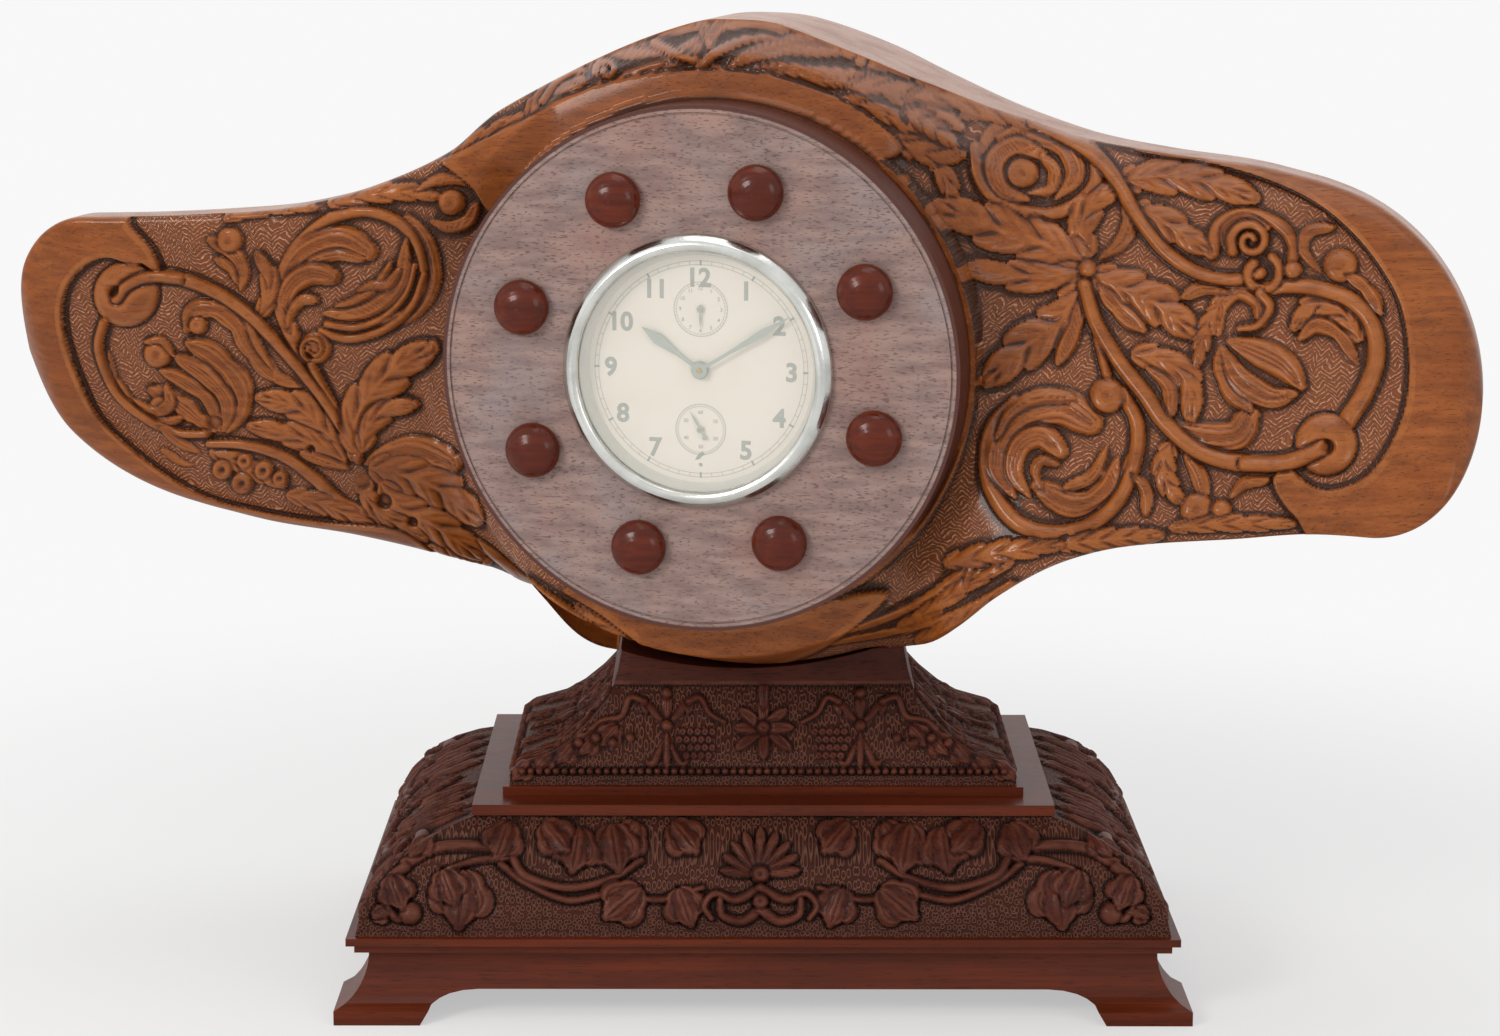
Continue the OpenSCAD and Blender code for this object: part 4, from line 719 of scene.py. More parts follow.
def metal(name, colour, rough):
    """Turned and lightly worn metal."""
    shade = Shade(name)
    broad = shade.even_noise(60)
    tone = shade.mixed(broad.over(0.3, 0.8) * 0.35, rgb(colour), rgb("6f6a60"))
    return shade.surface(Base_Color=tone, Metallic=1.0, Roughness=rough + 0.15 * broad,
                         Normal=shade.bump(shade.even_noise(900), METAL_BUMP))


def paper(name, colour, stain, rough=0.6):
    """Painted or printed matt surface with faint ageing."""
    shade = Shade(name)
    fine = shade.even_noise(1500, 2.0)
    tone = shade.mixed(shade.even_noise(40, 4.0).over(0.45, 0.8) * 0.5, rgb(colour), rgb(stain))
    return shade.surface(Base_Color=tone, Roughness=rough + 0.1 * fine, Normal=shade.bump(fine, PAPER_BUMP))


def floor_look(name):
    """Pale paper that keeps the shadow near the object and turns into plain white away from it."""
    shade = Shade(name)
    at = shade.node("TexCoord", output="Object")
    far = shade.node("VectorMath", {0: at}, "Value", operation="LENGTH").over(0.30, 0.85)
    seen = shade.node("LightPath", output="Is Camera Ray")
    paper_side = shade.node("BsdfPrincipled", {"Base Color": (0.88, 0.88, 0.88, 1), "Roughness": 0.9})
    white = shade.node("Emission", {"Color": (0.94, 0.94, 0.94, 1), "Strength": 1.0})
    return shade.ends_in(shade.node("MixShader", {0: (0.5 + far * 0.5) * seen, 1: paper_side, 2: white}))


def world_look(name):
    """White where the camera, reflections and glass see it, and dimmer as a light."""
    world = bpy.data.worlds.new(name)
    shade = Shade(name, world)
    seen = shade.node("LightPath", output="Is Camera Ray")
    for ray in ("Is Glossy Ray", "Is Transmission Ray"):
        seen = shade.node("Math", {0: seen, 1: shade.node("LightPath", output=ray)}, operation="MAXIMUM")
    felt, shown = (shade.node("Background", {"Color": (1, 1, 1, 1), "Strength": power})
                   for power in (WORLD_LIGHT, 1.0))
    return shade.ends_in(shade.node("MixShader", {0: seen, 1: felt, 2: shown}), "OutputWorld")


def clear_glass(name):
    """A thin domed glass: a faint veil with a clean reflection."""
    shade = Shade(name)
    return shade.surface(Base_Color=rgb("f4f4ee"), Roughness=0.04 + 0.06 * shade.even_noise(30), Alpha=0.13,
                         Specular_IOR_Level=0.6)


def make_materials(looks):
    """Makes the carved woods, and gives a material for each slot."""
    hub_turn = (0, 0, math.radians(HUB_YAW))
    walnut = (looks.walnut_light, looks.walnut_dark, looks.walnut_deep, 0.27, 0.24, hub_turn, 0.45,
              looks.walnut_worn)
    # The last colour of each carved wood is the wear and painted highlight of its raised tops
    wood("carved_walnut", *walnut, (herringbone, "6e3a20", "c98f6e", "b06a33"))
    wood("carved_mahogany", looks.base_light, looks.base_dark, looks.base_deep, 0.46, 0.06, (0, 0, 0), 0.3,
         "5a2718", (ring_punch, "33190f", "6b4234", "70402f"))
    red = wood("red_mahogany", looks.moulding_light, looks.moulding_dark, looks.base_deep, 0.32, 0.12)
    caps = wood("polished_cap", looks.cap_light, looks.cap_dark, "240903", 0.15, 0.22, hub_turn, 0.25)
    steel = metal("case_steel", "a9a9a5", 0.3)
    paper("print_grey", "9da19a", "8f948c")
    paper("print_fine", "a09e94", "93918a")
    return {
        "walnut_amber": wood("plain_walnut", *walnut), "mahogany_red": red, "mahogany_dark": red,
        "fascia_wood": fascia_wood(looks, hub_turn), "cap_gloss": caps,
        "nickel": metal("bright_nickel", "d9dad6", 0.12), "case_steel": steel, "steel": steel,
        "brass": metal("aged_brass", "b89a5a", 0.3),
        "dial_cream": paper("dial_cream", "ebe2d6", "e2d6c5"),
        "rehaut_grey": paper("rehaut_grey", "cfcdc6", "c2bfb6", 0.4),
        "hand_green": paper("hand_green", "a3aba3", "949c94", 0.5), "glass": clear_glass("dial_glass"),
    }


# Settings


def colour(name, description, text):
    """A colour setting with its default in hex."""
    return bpy.props.FloatVectorProperty(name=name, description=description, default=linear(text),
                                         subtype="COLOR", size=3, min=0, max=1)


def length(name, description, default, highest):
    """A length setting, given here in mm and kept in metres."""
    return bpy.props.FloatProperty(name=name, description=description, default=default * MM, min=0,
                                   max=highest * MM, precision=5, unit="LENGTH")


class ClockWoods(bpy.types.PropertyGroup):
    """Colours of the woods."""

    walnut_light: colour("Walnut light", "Highlights of the blades", "a35a26")
    walnut_dark: colour("Walnut dark", "Body of the blades", "6f3814")
    # Walnut deep also paints the shade in the hollows of the carving
    walnut_deep: colour("Walnut deep", "Hollows of the blades", "28120a")
    walnut_worn: colour("Walnut worn", "Rubbed patches of the blades", "854010")
    base_light: colour("Block light", "High places of the plinth", "522214")
    base_dark: colour("Block dark", "Body of the plinth", "38160d")
    # Block deep also paints the shade in the hollows of the carving
    base_deep: colour("Block deep", "Hollows of the plinth", "1a0c09")
    moulding_light: colour("Moulding light", "Streaks of the plain boards", "6c2a10")
    moulding_dark: colour("Moulding dark", "Body of the plain boards", "481906")
    disc_light: colour("Fascia light", "Streaks of the round fascia", "9b8076")
    disc_dark: colour("Fascia dark", "Body of the round fascia", "7d645f")
    disc_deep: colour("Fascia flecks", "Pores of the fascia", "4a302e")
    cap_light: colour("Cap light", "Streaks of the domed caps", "6c2508")
    cap_dark: colour("Cap dark", "Body of the domed caps", "461404")


class ClockCarving(bpy.types.PropertyGroup):
    """Sizes of the carving."""

    depth: length("Depth", "Depth of the sunk ground on the propeller", 4.6, 8)
    rise: length("Rise", "Rise of the plinth carving", 3.2, 6)
    step: length("Grid", "Grid spacing of the carved faces", 0.7, 5)


def settings():
    """The two groups of settings."""
    return bpy.context.scene.clock_woods, bpy.context.scene.clock_carving


def in_mm(value):
    """A length setting in mm."""
    return round(value / MM, 4)


# Propeller

# Grids on the sheet: marks' units per sheet unit, and the place of their origin
LEFT_SHEET = (3.136, (0, 180))
RIGHT_SHEET = (2.6133, (900, 60))
HUB_SHEET = (2.6133, (400, 60))
TOP_SHEET = (2.121, (400, 0))
LOW_SHEET = (2.1875, (420, 500))
BASE_SHEET = (1.6333, (280, 600))

# Knobs at the ends of both borders: grid, ball, stem round it and its half widths, eye
END_KNOBS = ((LEFT_SHEET, (385, 362, 103), [(560, 312), (470, 305), (400, 330), (362, 372)], (20, 22),
              (352, 352, 20)),
             (RIGHT_SHEET, (1112, 1008, 82), [(900, 1058), (1010, 1055), (1105, 1015)], (22, 24),
              (1118, 1012, 18)))


def carve_left(c):
    """Scrolls, leaves and blossoms of the left blade, on its own grid."""
    c.use(*LEFT_SHEET)
    # Big volute beside the disc
    c.leaf([(1180, 470), (1290, 420), (1350, 320), (1330, 200), (1270, 120)], 40, 3.4, 1)
    c.stem([(1150, 455), (1260, 420), (1320, 330), (1310, 220), (1250, 140), (1150, 100), (1060, 112),
            (990, 150), (920, 220), (880, 300), (872, 390), (900, 470), (950, 560)], (14, 27), 4.4)
    c.stem([(1000, 480), (1090, 500), (1200, 470), (1285, 400), (1325, 300)], (16, 14), 3.6)
    c.stem([(1020, 455), (1110, 465), (1200, 430), (1265, 360), (1295, 270)], (14, 12), 3.9)
    c.leaf([(1000, 420), (1090, 425), (1190, 385), (1250, 310), (1270, 190)], 50, 4.2, 3, tip=0.5)
    c.leaf([(1040, 400), (1110, 380), (1180, 330), (1220, 260)], 30, 4.3, 1, tip=0.5)
    c.leaf([(880, 390), (900, 290), (960, 220), (1060, 190), (1145, 225)], 58, 4.6, 3, tip=0.2)
    c.leaf([(910, 320), (970, 260), (1050, 235), (1130, 250)], 30, 4.7, 1, tip=0.3)
    c.leaf([(905, 490), (885, 400), (910, 330), (970, 295), (1035, 305)], 46, 4.5, 2, tip=0.2)
    c.leaf([(895, 470), (905, 420), (940, 380), (985, 380)], 26, 4.4, 1, tip=0.3)
    c.leaf([(1110, 350), (1160, 335), (1210, 330), (1245, 285)], 28, 4.2, 1)
    # Leaf standing on the stem, and the small curl over it
    c.leaf([(745, 350), (755, 290), (725, 235), (650, 190)], 40, 4.2, 2, tip=0.4)
    c.leaf([(735, 330), (715, 280), (670, 250)], 24, 3.9, 1)
    c.ball(712, 192, 42, 4.4, dent=0.25)
    c.frond([(800, 440), (835, 370), (835, 300), (800, 235)], 44, 2, 4.1)
    c.leaf([(935, 655), (850, 615), (790, 545), (745, 465), (685, 410), (605, 415), (580, 470)],
            60, 4.4, 3, 5)
    c.leaf([(850, 600), (800, 520), (770, 440), (720, 400)], 26, 4.5, 1)
    c.ball(612, 458, 30, 4.2, dent=0.3)
    # Blossom
    c.leaf([(700, 800), (755, 710), (735, 630), (660, 555), (585, 515)], 62, 4.5, 3, 3)
    c.leaf([(690, 800), (705, 700), (640, 620), (550, 560)], 52, 4.7, 2, 2)
    c.leaf([(680, 795), (650, 700), (580, 640), (500, 600)], 40, 4.4, 2, 2)
    c.leaf([(670, 795), (610, 750), (545, 700), (465, 660)], 52, 4.3, 2, 3)
    c.ball(487, 548, 46, 4.6, dent=0.4)
    c.leaf([(540, 560), (500, 510), (450, 510)], 20, 4.2, 1)
    c.ball(495, 717, 38, 4.4, dent=0.3)
    c.hole(665, 764, 22, 3.5)
    # Inner leaf of the border
    c.leaf([(330, 540), (345, 630), (395, 700), (465, 735), (525, 705), (515, 650)], 40, 4.0, 2, 4)
    c.leaf([(400, 690), (430, 740), (500, 765), (560, 750)], 26, 3.8, 1)
    c.stem([(318, 450), (302, 520), (322, 600), (365, 680), (440, 745), (540, 795), (640, 800)],
            (17, 14), 4.6)
    # Lower flower and leaves
    c.frond([(650, 850), (720, 880), (800, 920), (880, 960)], 46, 3, 3.9)
    for x, y, r in ((690, 912, 34), (752, 955, 36), (820, 915, 32), (760, 885, 26), (872, 940, 26)):
        c.ball(x, y, r, 4.0, dent=0.75)
    c.stem([(650, 830), (760, 835), (880, 870), (980, 940), (1080, 1030), (1220, 1075)], (14, 26), 4.2)
    c.frond([(890, 990), (980, 1010), (1060, 1040), (1170, 1095)], 50, 3, 3.6)
    c.leaf([(620, 860), (560, 830), (500, 780)], 26, 3.4, 1)
    c.leaf([(600, 900), (560, 890), (500, 850)], 18, 3.0, 1)
    c.frond([(1095, 870), (1010, 785), (930, 715), (810, 685)], 72, 3, 4.3, 0.8)
    c.frond([(1080, 890), (1000, 840), (900, 800), (780, 775)], 58, 2, 4.1, 0.8)
    c.leaf([(1090, 910), (1010, 885), (940, 860)], 28, 3.8, 1)
    c.hole(880, 755, 13, 2.5)
    c.hole(970, 845, 12, 2.5)
    # Stems
    c.stem([(1105, 870), (1060, 760), (1010, 660), (965, 570)], (20, 15), 4.9)
    c.stem([(1120, 880), (1080, 800), (1010, 690), (930, 590), (850, 500), (780, 430), (680, 360),
            (560, 312), (470, 305), (400, 330), (362, 372)], (17, 24), 5.2)
    c.ball(980, 530, 52, 4.8, dent=0.25)
    c.stem(spiral(980, 530, 40, 16, 120, 1.2), 9, 5.0, 0.8)
    c.hole(965, 552, 14, 2.5)
    # Leaves about the node
    c.frond([(1115, 865), (1115, 760), (1170, 660), (1250, 585), (1350, 530)], 96, 3, 4.7, 0.8)
    c.frond([(1130, 855), (1150, 780), (1205, 725), (1295, 708)], 54, 2, 4.4, 0.8)
    c.leaf([(1135, 895), (1210, 865), (1300, 850), (1410, 893)], 60, 4.7, 3, tip=0.2)
    c.frond([(1150, 905), (1260, 925), (1390, 980), (1490, 1070)], 92, 3, 4.8, 0.8)
    c.frond([(1190, 950), (1250, 1030), (1370, 1090), (1500, 1180)], 76, 3, 4.6, 0.8)
    c.frond([(1120, 920), (1150, 1000), (1210, 1060), (1330, 1130)], 48, 3, 4.3)
    c.hole(1130, 950, 24, 4.5)
    c.hole(1200, 1010, 22, 4.5)
    c.hole(1290, 1075, 16, 3)
    # Curls along the upper edge
    c.frond([(1020, 80), (1140, 50), (1270, 40), (1370, 55)], 46, 4, 4.3)
    c.ball(1410, 72, 44, 4.6, dent=0.3)
    c.leaf([(1340, 130), (1400, 150), (1460, 130), (1490, 80)], 34, 4.2, 2)
    c.leaf([(1290, 40), (1380, 0), (1450, 0), (1500, 30)], 34, 4.2, 1)
    c.frond([(690, 128), (780, 100), (880, 88), (985, 90)], 34, 3, 4.0)


LEFT_PANEL = [(412, 292), (440, 262), (497, 300), (470, 220), (400, 120), (560, 60), (800, 20),
              (1100, -40), (1560, -200), (1700, 400), (1700, 1300), (1400, 1190), (1240, 1100),
              (1000, 1075), (800, 1040), (650, 1000), (520, 930), (400, 840), (300, 740), (240, 620),
              (200, 500), (190, 400), (215, 320), (270, 265), (330, 245), (385, 262)]


def carve_right(c):
    """Scrolls, leaf fans and rosettes of the right blade, on its own grid."""
    c.use(*RIGHT_SHEET)
    # Rosette at the upper left
    c.stem([(195, 230), (205, 310), (260, 375), (360, 405), (450, 385), (510, 320), (500, 240), (430, 190)],
            (16, 22), 4.6)
    c.leaf([(200, 260), (240, 190), (320, 160), (410, 180)], 34, 4.2, 2)
    c.leaf([(400, 370), (455, 300), (420, 225), (340, 190), (260, 205)], 50, 4.3, 3, 2)
    c.leaf([(340, 370), (265, 340), (245, 270), (300, 225), (370, 250)], 44, 4.6, 2)
    c.leaf([(330, 350), (390, 340), (400, 290), (370, 255)], 26, 4.5, 1)
    c.ball(318, 296, 42, 4.8, dent=0.2)
    # Leaves along the top
    c.frond([(10, 100), (120, 95), (240, 125), (350, 175)], 54, 4, 4.3)
    c.frond([(0, 130), (70, 165), (140, 225)], 48, 3, 4.1)
    c.frond([(-70, 190), (20, 225), (100, 255), (160, 250)], 48, 3, 4.0)
    c.frond([(-60, 300), (0, 330), (50, 400)], 40, 3, 3.8)
    # Small rosette
    c.stem([(1015, 565), (1028, 490), (985, 430), (900, 405), (835, 435), (812, 505)], (16, 22), 4.4)
    c.leaf([(860, 520), (850, 450), (900, 420), (960, 440)], 30, 4.2, 2)
    c.stem(spiral(915, 475, 54, 10, 150, 1.5), (16, 10), 4.6)
    # Leaf fans
    c.frond([(565, 325), (660, 305), (780, 315), (925, 362)], 70, 3, 4.3, 0.8)
    c.frond([(600, 390), (680, 420), (800, 500)], 60, 2, 4.2, 0.7)
    c.frond([(495, 520), (470, 450), (500, 380), (570, 330)], 58, 2, 4.3, 0.8)
    c.leaf([(515, 525), (575, 480), (600, 420), (580, 345)], 34, 4.2, 1, 1)
    c.frond([(490, 534), (380, 485), (250, 440), (100, 385)], 92, 3, 4.7, 0.8)
    c.frond([(490, 550), (400, 568), (300, 566), (170, 545)], 60, 2, 4.5, 0.8)
    c.frond([(475, 590), (420, 685), (340, 740), (225, 840)], 86, 3, 4.7, 0.8)
    c.leaf([(478, 610), (455, 700), (410, 795)], 38, 4.4, 2, 2)
    c.frond([(500, 558), (580, 600), (670, 640), (765, 715)], 82, 3, 4.7, 0.8)
    c.leaf([(515, 590), (570, 655), (636, 708)], 42, 4.5, 2, 2)
    c.ball(488, 548, 26, 5.0)
    # Big volute at the lower left
    c.stem([(520, 1075), (560, 1120), (600, 1040)], (10, 12), 3.8)
    c.leaf([(570, 1040), (535, 1125), (455, 1165), (350, 1115)], 58, 4.5, 3, 2)
    c.leaf([(540, 1010), (500, 1090), (430, 1120)], 26, 4.3, 1)
    c.stem([(575, 870), (617, 950), (612, 1050), (570, 1150), (490, 1220), (390, 1240), (300, 1210),
            (240, 1130), (225, 1040), (245, 960), (300, 905)], (20, 25), 4.8)
    c.leaf([(300, 1150), (250, 1070), (268, 985), (335, 925), (420, 910), (495, 950)], 62, 4.8, 3, tip=0.2)
    c.leaf([(340, 1150), (295, 1080), (312, 1010), (365, 985), (415, 1025)], 42, 4.5, 2, tip=0.2)
    c.leaf([(370, 1130), (350, 1080), (370, 1050), (410, 1060)], 22, 4.3, 1)
    c.leaf([(245, 1000), (285, 925), (360, 885), (450, 885)], 34, 4.3, 1)
    # Stems from the node
    c.stem([(500, 640), (520, 750), (545, 850)], (15, 13), 4.7)
    c.ball(540, 880, 48, 4.7, dent=0.3)
    c.frond([(600, 770), (690, 790), (755, 850), (758, 945)], 58, 2, 4.5, 0.8)
    c.leaf([(640, 805), (700, 855), (705, 935)], 32, 4.3, 1)
    c.leaf([(685, 950), (780, 985), (875, 985), (912, 930)], 50, 4.7, 3, tip=0.2)
    c.frond([(710, 1000), (688, 1060), (700, 1115), (735, 1160)], 46, 3, 4.4)
    c.leaf([(740, 1030), (775, 1080), (795, 1145)], 34, 4.3, 1)
    c.ball(775, 1180, 46, 4.6, dent=0.25)
    c.ball(838, 1182, 30, 4.3)
    c.leaf([(860, 1150), (900, 1110), (960, 1100)], 26, 4.0, 1)
    c.leaf([(600, 1080), (640, 1130), (640, 1190)], 26, 4.0, 1)
    c.stem([(480, 590), (510, 690), (570, 790), (640, 880), (690, 950), (780, 1025), (900, 1058),
            (1010, 1055), (1105, 1015)], (20, 27), 5.2)
    # Tulip inside the border
    c.frond([(1205, 740), (1160, 665), (1085, 640), (1030, 700)], 52, 3, 4.4)
    c.leaf([(1195, 800), (1150, 725), (1090, 695), (1045, 730)], 36, 4.1, 2, 2)
    c.leaf([(830, 730), (830, 650), (880, 600), (940, 630), (945, 690)], 46, 4.6, 2)
    c.leaf([(835, 750), (852, 840), (915, 915)], 50, 4.6, 2, 2)
    c.leaf([(850, 735), (920, 760), (1000, 800), (1048, 855)], 60, 4.8, 2, 1)
    c.leaf([(840, 750), (885, 835), (965, 885), (1030, 875)], 50, 4.7, 3, 1)
    c.frond([(835, 640), (800, 700), (775, 800)], 36, 3, 4.2)
    c.leaf([(865, 612), (795, 598), (740, 622)], 30, 4.1, 1)
    c.ball(1150, 540, 46, 4.8, dent=0.2)
    c.leaf([(1160, 560), (1215, 600), (1255, 665)], 34, 4.0, 2, 2)
    c.leaf([(1100, 560), (1050, 500), (1070, 450), (1130, 440)], 26, 3.8, 1)
    # Arms of the border
    c.stem([(1165, 950), (1215, 870), (1245, 780), (1230, 690), (1175, 630), (1090, 600), (1010, 592),
            (950, 602)], (27, 21), 5.1)
    c.stem([(940, 560), (870, 577), (780, 560), (700, 510), (640, 440), (600, 380), (570, 325), (500, 245),
            (420, 195), (350, 160)], (17, 24), 5.1)
    c.stem(spiral(945, 560, 50, 34, -60, 0.8), (13, 16), 5.0)
    c.stem([(940, 610), (965, 650), (935, 695), (885, 705)], (16, 9), 4.7)
    c.ball(1025, 552, 26, 4.7)
    # Ribs along the lower edge
    c.frond([(400, 1270), (520, 1258), (680, 1245)], 44, 4, 4.2)
    c.frond([(700, 1228), (820, 1215), (930, 1215), (1030, 1215)], 34, 4, 4.2)
    c.frond([(110, 1320), (260, 1290), (420, 1268)], 46, 4, 4.2)


RIGHT_PANEL = [(-200, -60), (60, 5), (350, 140), (620, 238), (800, 268), (950, 310), (1080, 370),
               (1180, 450), (1260, 550), (1310, 650), (1330, 780), (1322, 900), (1285, 1000), (1225, 1085),
               (1150, 1122), (1090, 1122), (1045, 1095), (1020, 1072), (985, 1080), (975, 1110),
               (1000, 1160), (1045, 1215), (1060, 1300), (900, 1420), (-300, 1500), (-300, 700)]


def carve_hub(c):
    """Leaves over and under the round fascia, on sheets of their own."""
    c.use(*TOP_SHEET)
    c.frond([(100, 345), (150, 310), (210, 275), (280, 240)], 30, 3, 4.2)
    c.leaf([(190, 300), (250, 270), (310, 235), (350, 205)], 24, 4.4, 3, 2)
    c.frond([(265, 255), (310, 205), (370, 170), (440, 165)], 40, 3, 4.8)
    c.stem([(300, 215), (335, 170), (385, 150), (420, 175), (400, 200)], (10, 7), 5.0)
    c.leaf([(400, 190), (420, 130), (480, 100), (550, 110)], 44, 4.9, 3, 2)
    c.stem(spiral(436, 150, 24, 6, 170, 1.2), (10, 6), 5.1)
    c.leaf([(450, 170), (530, 150), (600, 115), (645, 75)], 34, 4.7, 3, 2)
    c.leaf([(500, 100), (570, 58), (640, 48), (655, 100)], 34, 5.0, 3)
    c.stem([(520, 78), (590, 46), (645, 52), (652, 92)], (5, 9), 5.2)
    c.stem([(540, 92), (590, 118), (640, 135), (680, 150)], (13, 8), 5.1)
    c.stem([(630, 150), (670, 112), (730, 85), (800, 82)], (14, 9), 5.1)
    c.leaf([(650, 95), (680, 50), (750, 38), (840, 62)], 38, 5.0, 3)
    c.leaf([(690, 145), (770, 112), (860, 92), (950, 105)], 48, 5.0, 4, 2)
    c.leaf([(720, 150), (820, 150), (920, 168), (1010, 165)], 40, 4.8, 4, 2)
    c.leaf([(820, 60), (900, 45), (975, 75), (975, 130)], 44, 5.0, 3)
    c.ball(952, 108, 20, 5.0, dent=0.3)
    c.leaf([(985, 160), (1015, 115), (985, 78), (930, 62)], 26, 4.8, 2)
    c.frond([(940, 185), (1030, 190), (1110, 225), (1185, 270)], 44, 4, 4.8)
    c.frond([(990, 135), (1070, 140), (1160, 180), (1240, 225)], 38, 4, 4.6)
    c.frond([(900, 205), (1000, 230), (1080, 275), (1160, 335)], 34, 4, 4.6)
    c.frond([(1120, 200), (1210, 205), (1310, 240), (1420, 270)], 44, 4, 4.7)
    c.leaf([(1080, 120), (1170, 150), (1260, 190), (1350, 220)], 24, 4.4, 3)
    c.frond([(1080, 290), (1130, 330), (1160, 390), (1180, 450)], 34, 3, 4.4)
    c.leaf([(1180, 250), (1240, 240), (1300, 262)], 26, 4.5, 2)
    c.use(*LOW_SHEET)
    outer = ((-40, 95), (30, 112), (100, 140), (170, 182), (235, 225), (300, 268), (365, 300), (430, 322))
    for (x, y), (u, v) in zip(outer[:-1], outer[1:]):
        c.frond([(u, v), ((x + u) / 2, (y + v) / 2), (x - 12, y - 8)], 26, 2, 4.4)
        c.ball((x + u) / 2 + 8, (y + v) / 2 - 26, 13, 4.3, dent=0.3)
    c.stem([(60, 60), (140, 110), (210, 165), (280, 215), (350, 255), (430, 285)], (11, 9), 4.6)
    c.frond([(560, 322), (480, 300), (410, 275), (340, 235)], 26, 3, 4.3)
    c.stem([(1400, 85), (1300, 105), (1200, 150), (1110, 215), (1000, 268), (880, 300)], (15, 8), 4.8)
    c.stem([(1290, 190), (1210, 235), (1120, 270), (1010, 295), (900, 315)], (12, 7), 4.6)
    c.frond([(1040, 285), (1110, 245), (1190, 190), (1290, 140)], 30, 4, 4.5)
    c.frond([(1080, 315), (1150, 285), (1230, 240), (1310, 190)], 34, 4, 4.5)
    c.ball(1200, 130, 16, 4.6, dent=0.2)
    c.leaf([(1190, 200), (1195, 170), (1205, 140)], 16, 4.3, 1)


BAND_TOP = [(100, 268), (200, 215), (330, 150), (440, 92), (570, 50), (720, 28), (870, 28), (1010, 52),
            (1140, 100), (1240, 160), (1310, 230), (1240, 260), (1000, 200), (780, 160), (560, 200),
            (400, 290), (250, 400), (180, 330)]
BAND_LOW = [(420, 1392), (520, 1452), (640, 1540), (760, 1590), (900, 1600), (1060, 1560), (1180, 1490),
            (1270, 1400), (1180, 1400), (1000, 1450), (780, 1460), (560, 1410), (470, 1350)]


def front_angles(count):
    """Angles round the front of a section: close together round both edges, even in height between them."""
    middle = np.degrees(np.arccos(np.linspace(0.9992, -0.9992, count)))
    ahead = np.degrees(np.arcsin(np.arange(0.10, 0.78, 0.05)**12.5))
    behind = -np.degrees(np.arcsin(np.arange(0.92, 0.05, -0.06)**3.33))
    before = np.concatenate([behind, [0.0], ahead])
    return np.concatenate([before, middle, 180 - before[::-1]])


def stations(a, b, step):
    """Even stations from a to b, closing up toward a blade's tip."""
    if abs(b) < BLADE:
        return np.linspace(a, b, int(abs(b - a) / step) + 1)
    sign = math.copysign(1, b)
    start = BLADE - TIP_ZONE
    even = np.linspace(a, sign * start, int((start - abs(a)) / step) + 1)
    k = np.linspace(0, 1, TIP_STATIONS)[1:]
    return np.concatenate([even, sign * (BLADE - TIP_ZONE * (1 - k)**2)])


def propeller_relief(sheet, along, z, depth):
    """Heights over the sunk ground: marks, plain bands and borders, end knobs and the disc's rim."""
    radius = np.hypot(along, z)
    c = Carving(sheet)
    for carve in (carve_hub, carve_left, carve_right):
        carve(c)
    c.use(*HUB_SHEET)
    for outline in (BAND_TOP, BAND_LOW):
        c.table(-c.region(outline), BAND_RISE, 4)
    past_panel = []
    for grid, outline in ((LEFT_SHEET, LEFT_PANEL), (RIGHT_SHEET, RIGHT_PANEL)):
        c.use(*grid)
        past_panel.append(c.region(outline))
    border = np.where(along < 0, *past_panel)
    c.table(np.where(np.abs(along) > BORDER_FROM, border, -50.0), depth, 2.4)
    for grid, knob, stem, widths, eye in END_KNOBS:
        c.use(*grid)
        c.ball(*knob, depth + 0.2, cut=1.6)
        c.stem(stem, widths, depth + 1.2)
        c.hole(*eye, 3.2)
    near_disc = 1 - ease(*DISC_LIP, radius)
    level, rise, lip_r, lip_width = LIP
    lip = level + rise * np.exp(-((radius - lip_r) / lip_width)**2)
    c.height = mix(c.height, lip, near_disc)
    c.plain = np.maximum(c.plain, near_disc)
    flank = ease(*FLANK_R, radius) * (1 - ease(*FLANK_ALONG, np.abs(along)))
    c.height = mix(c.height, depth - FLANK_UNDER, flank * FLANK_SHARE)
    return c


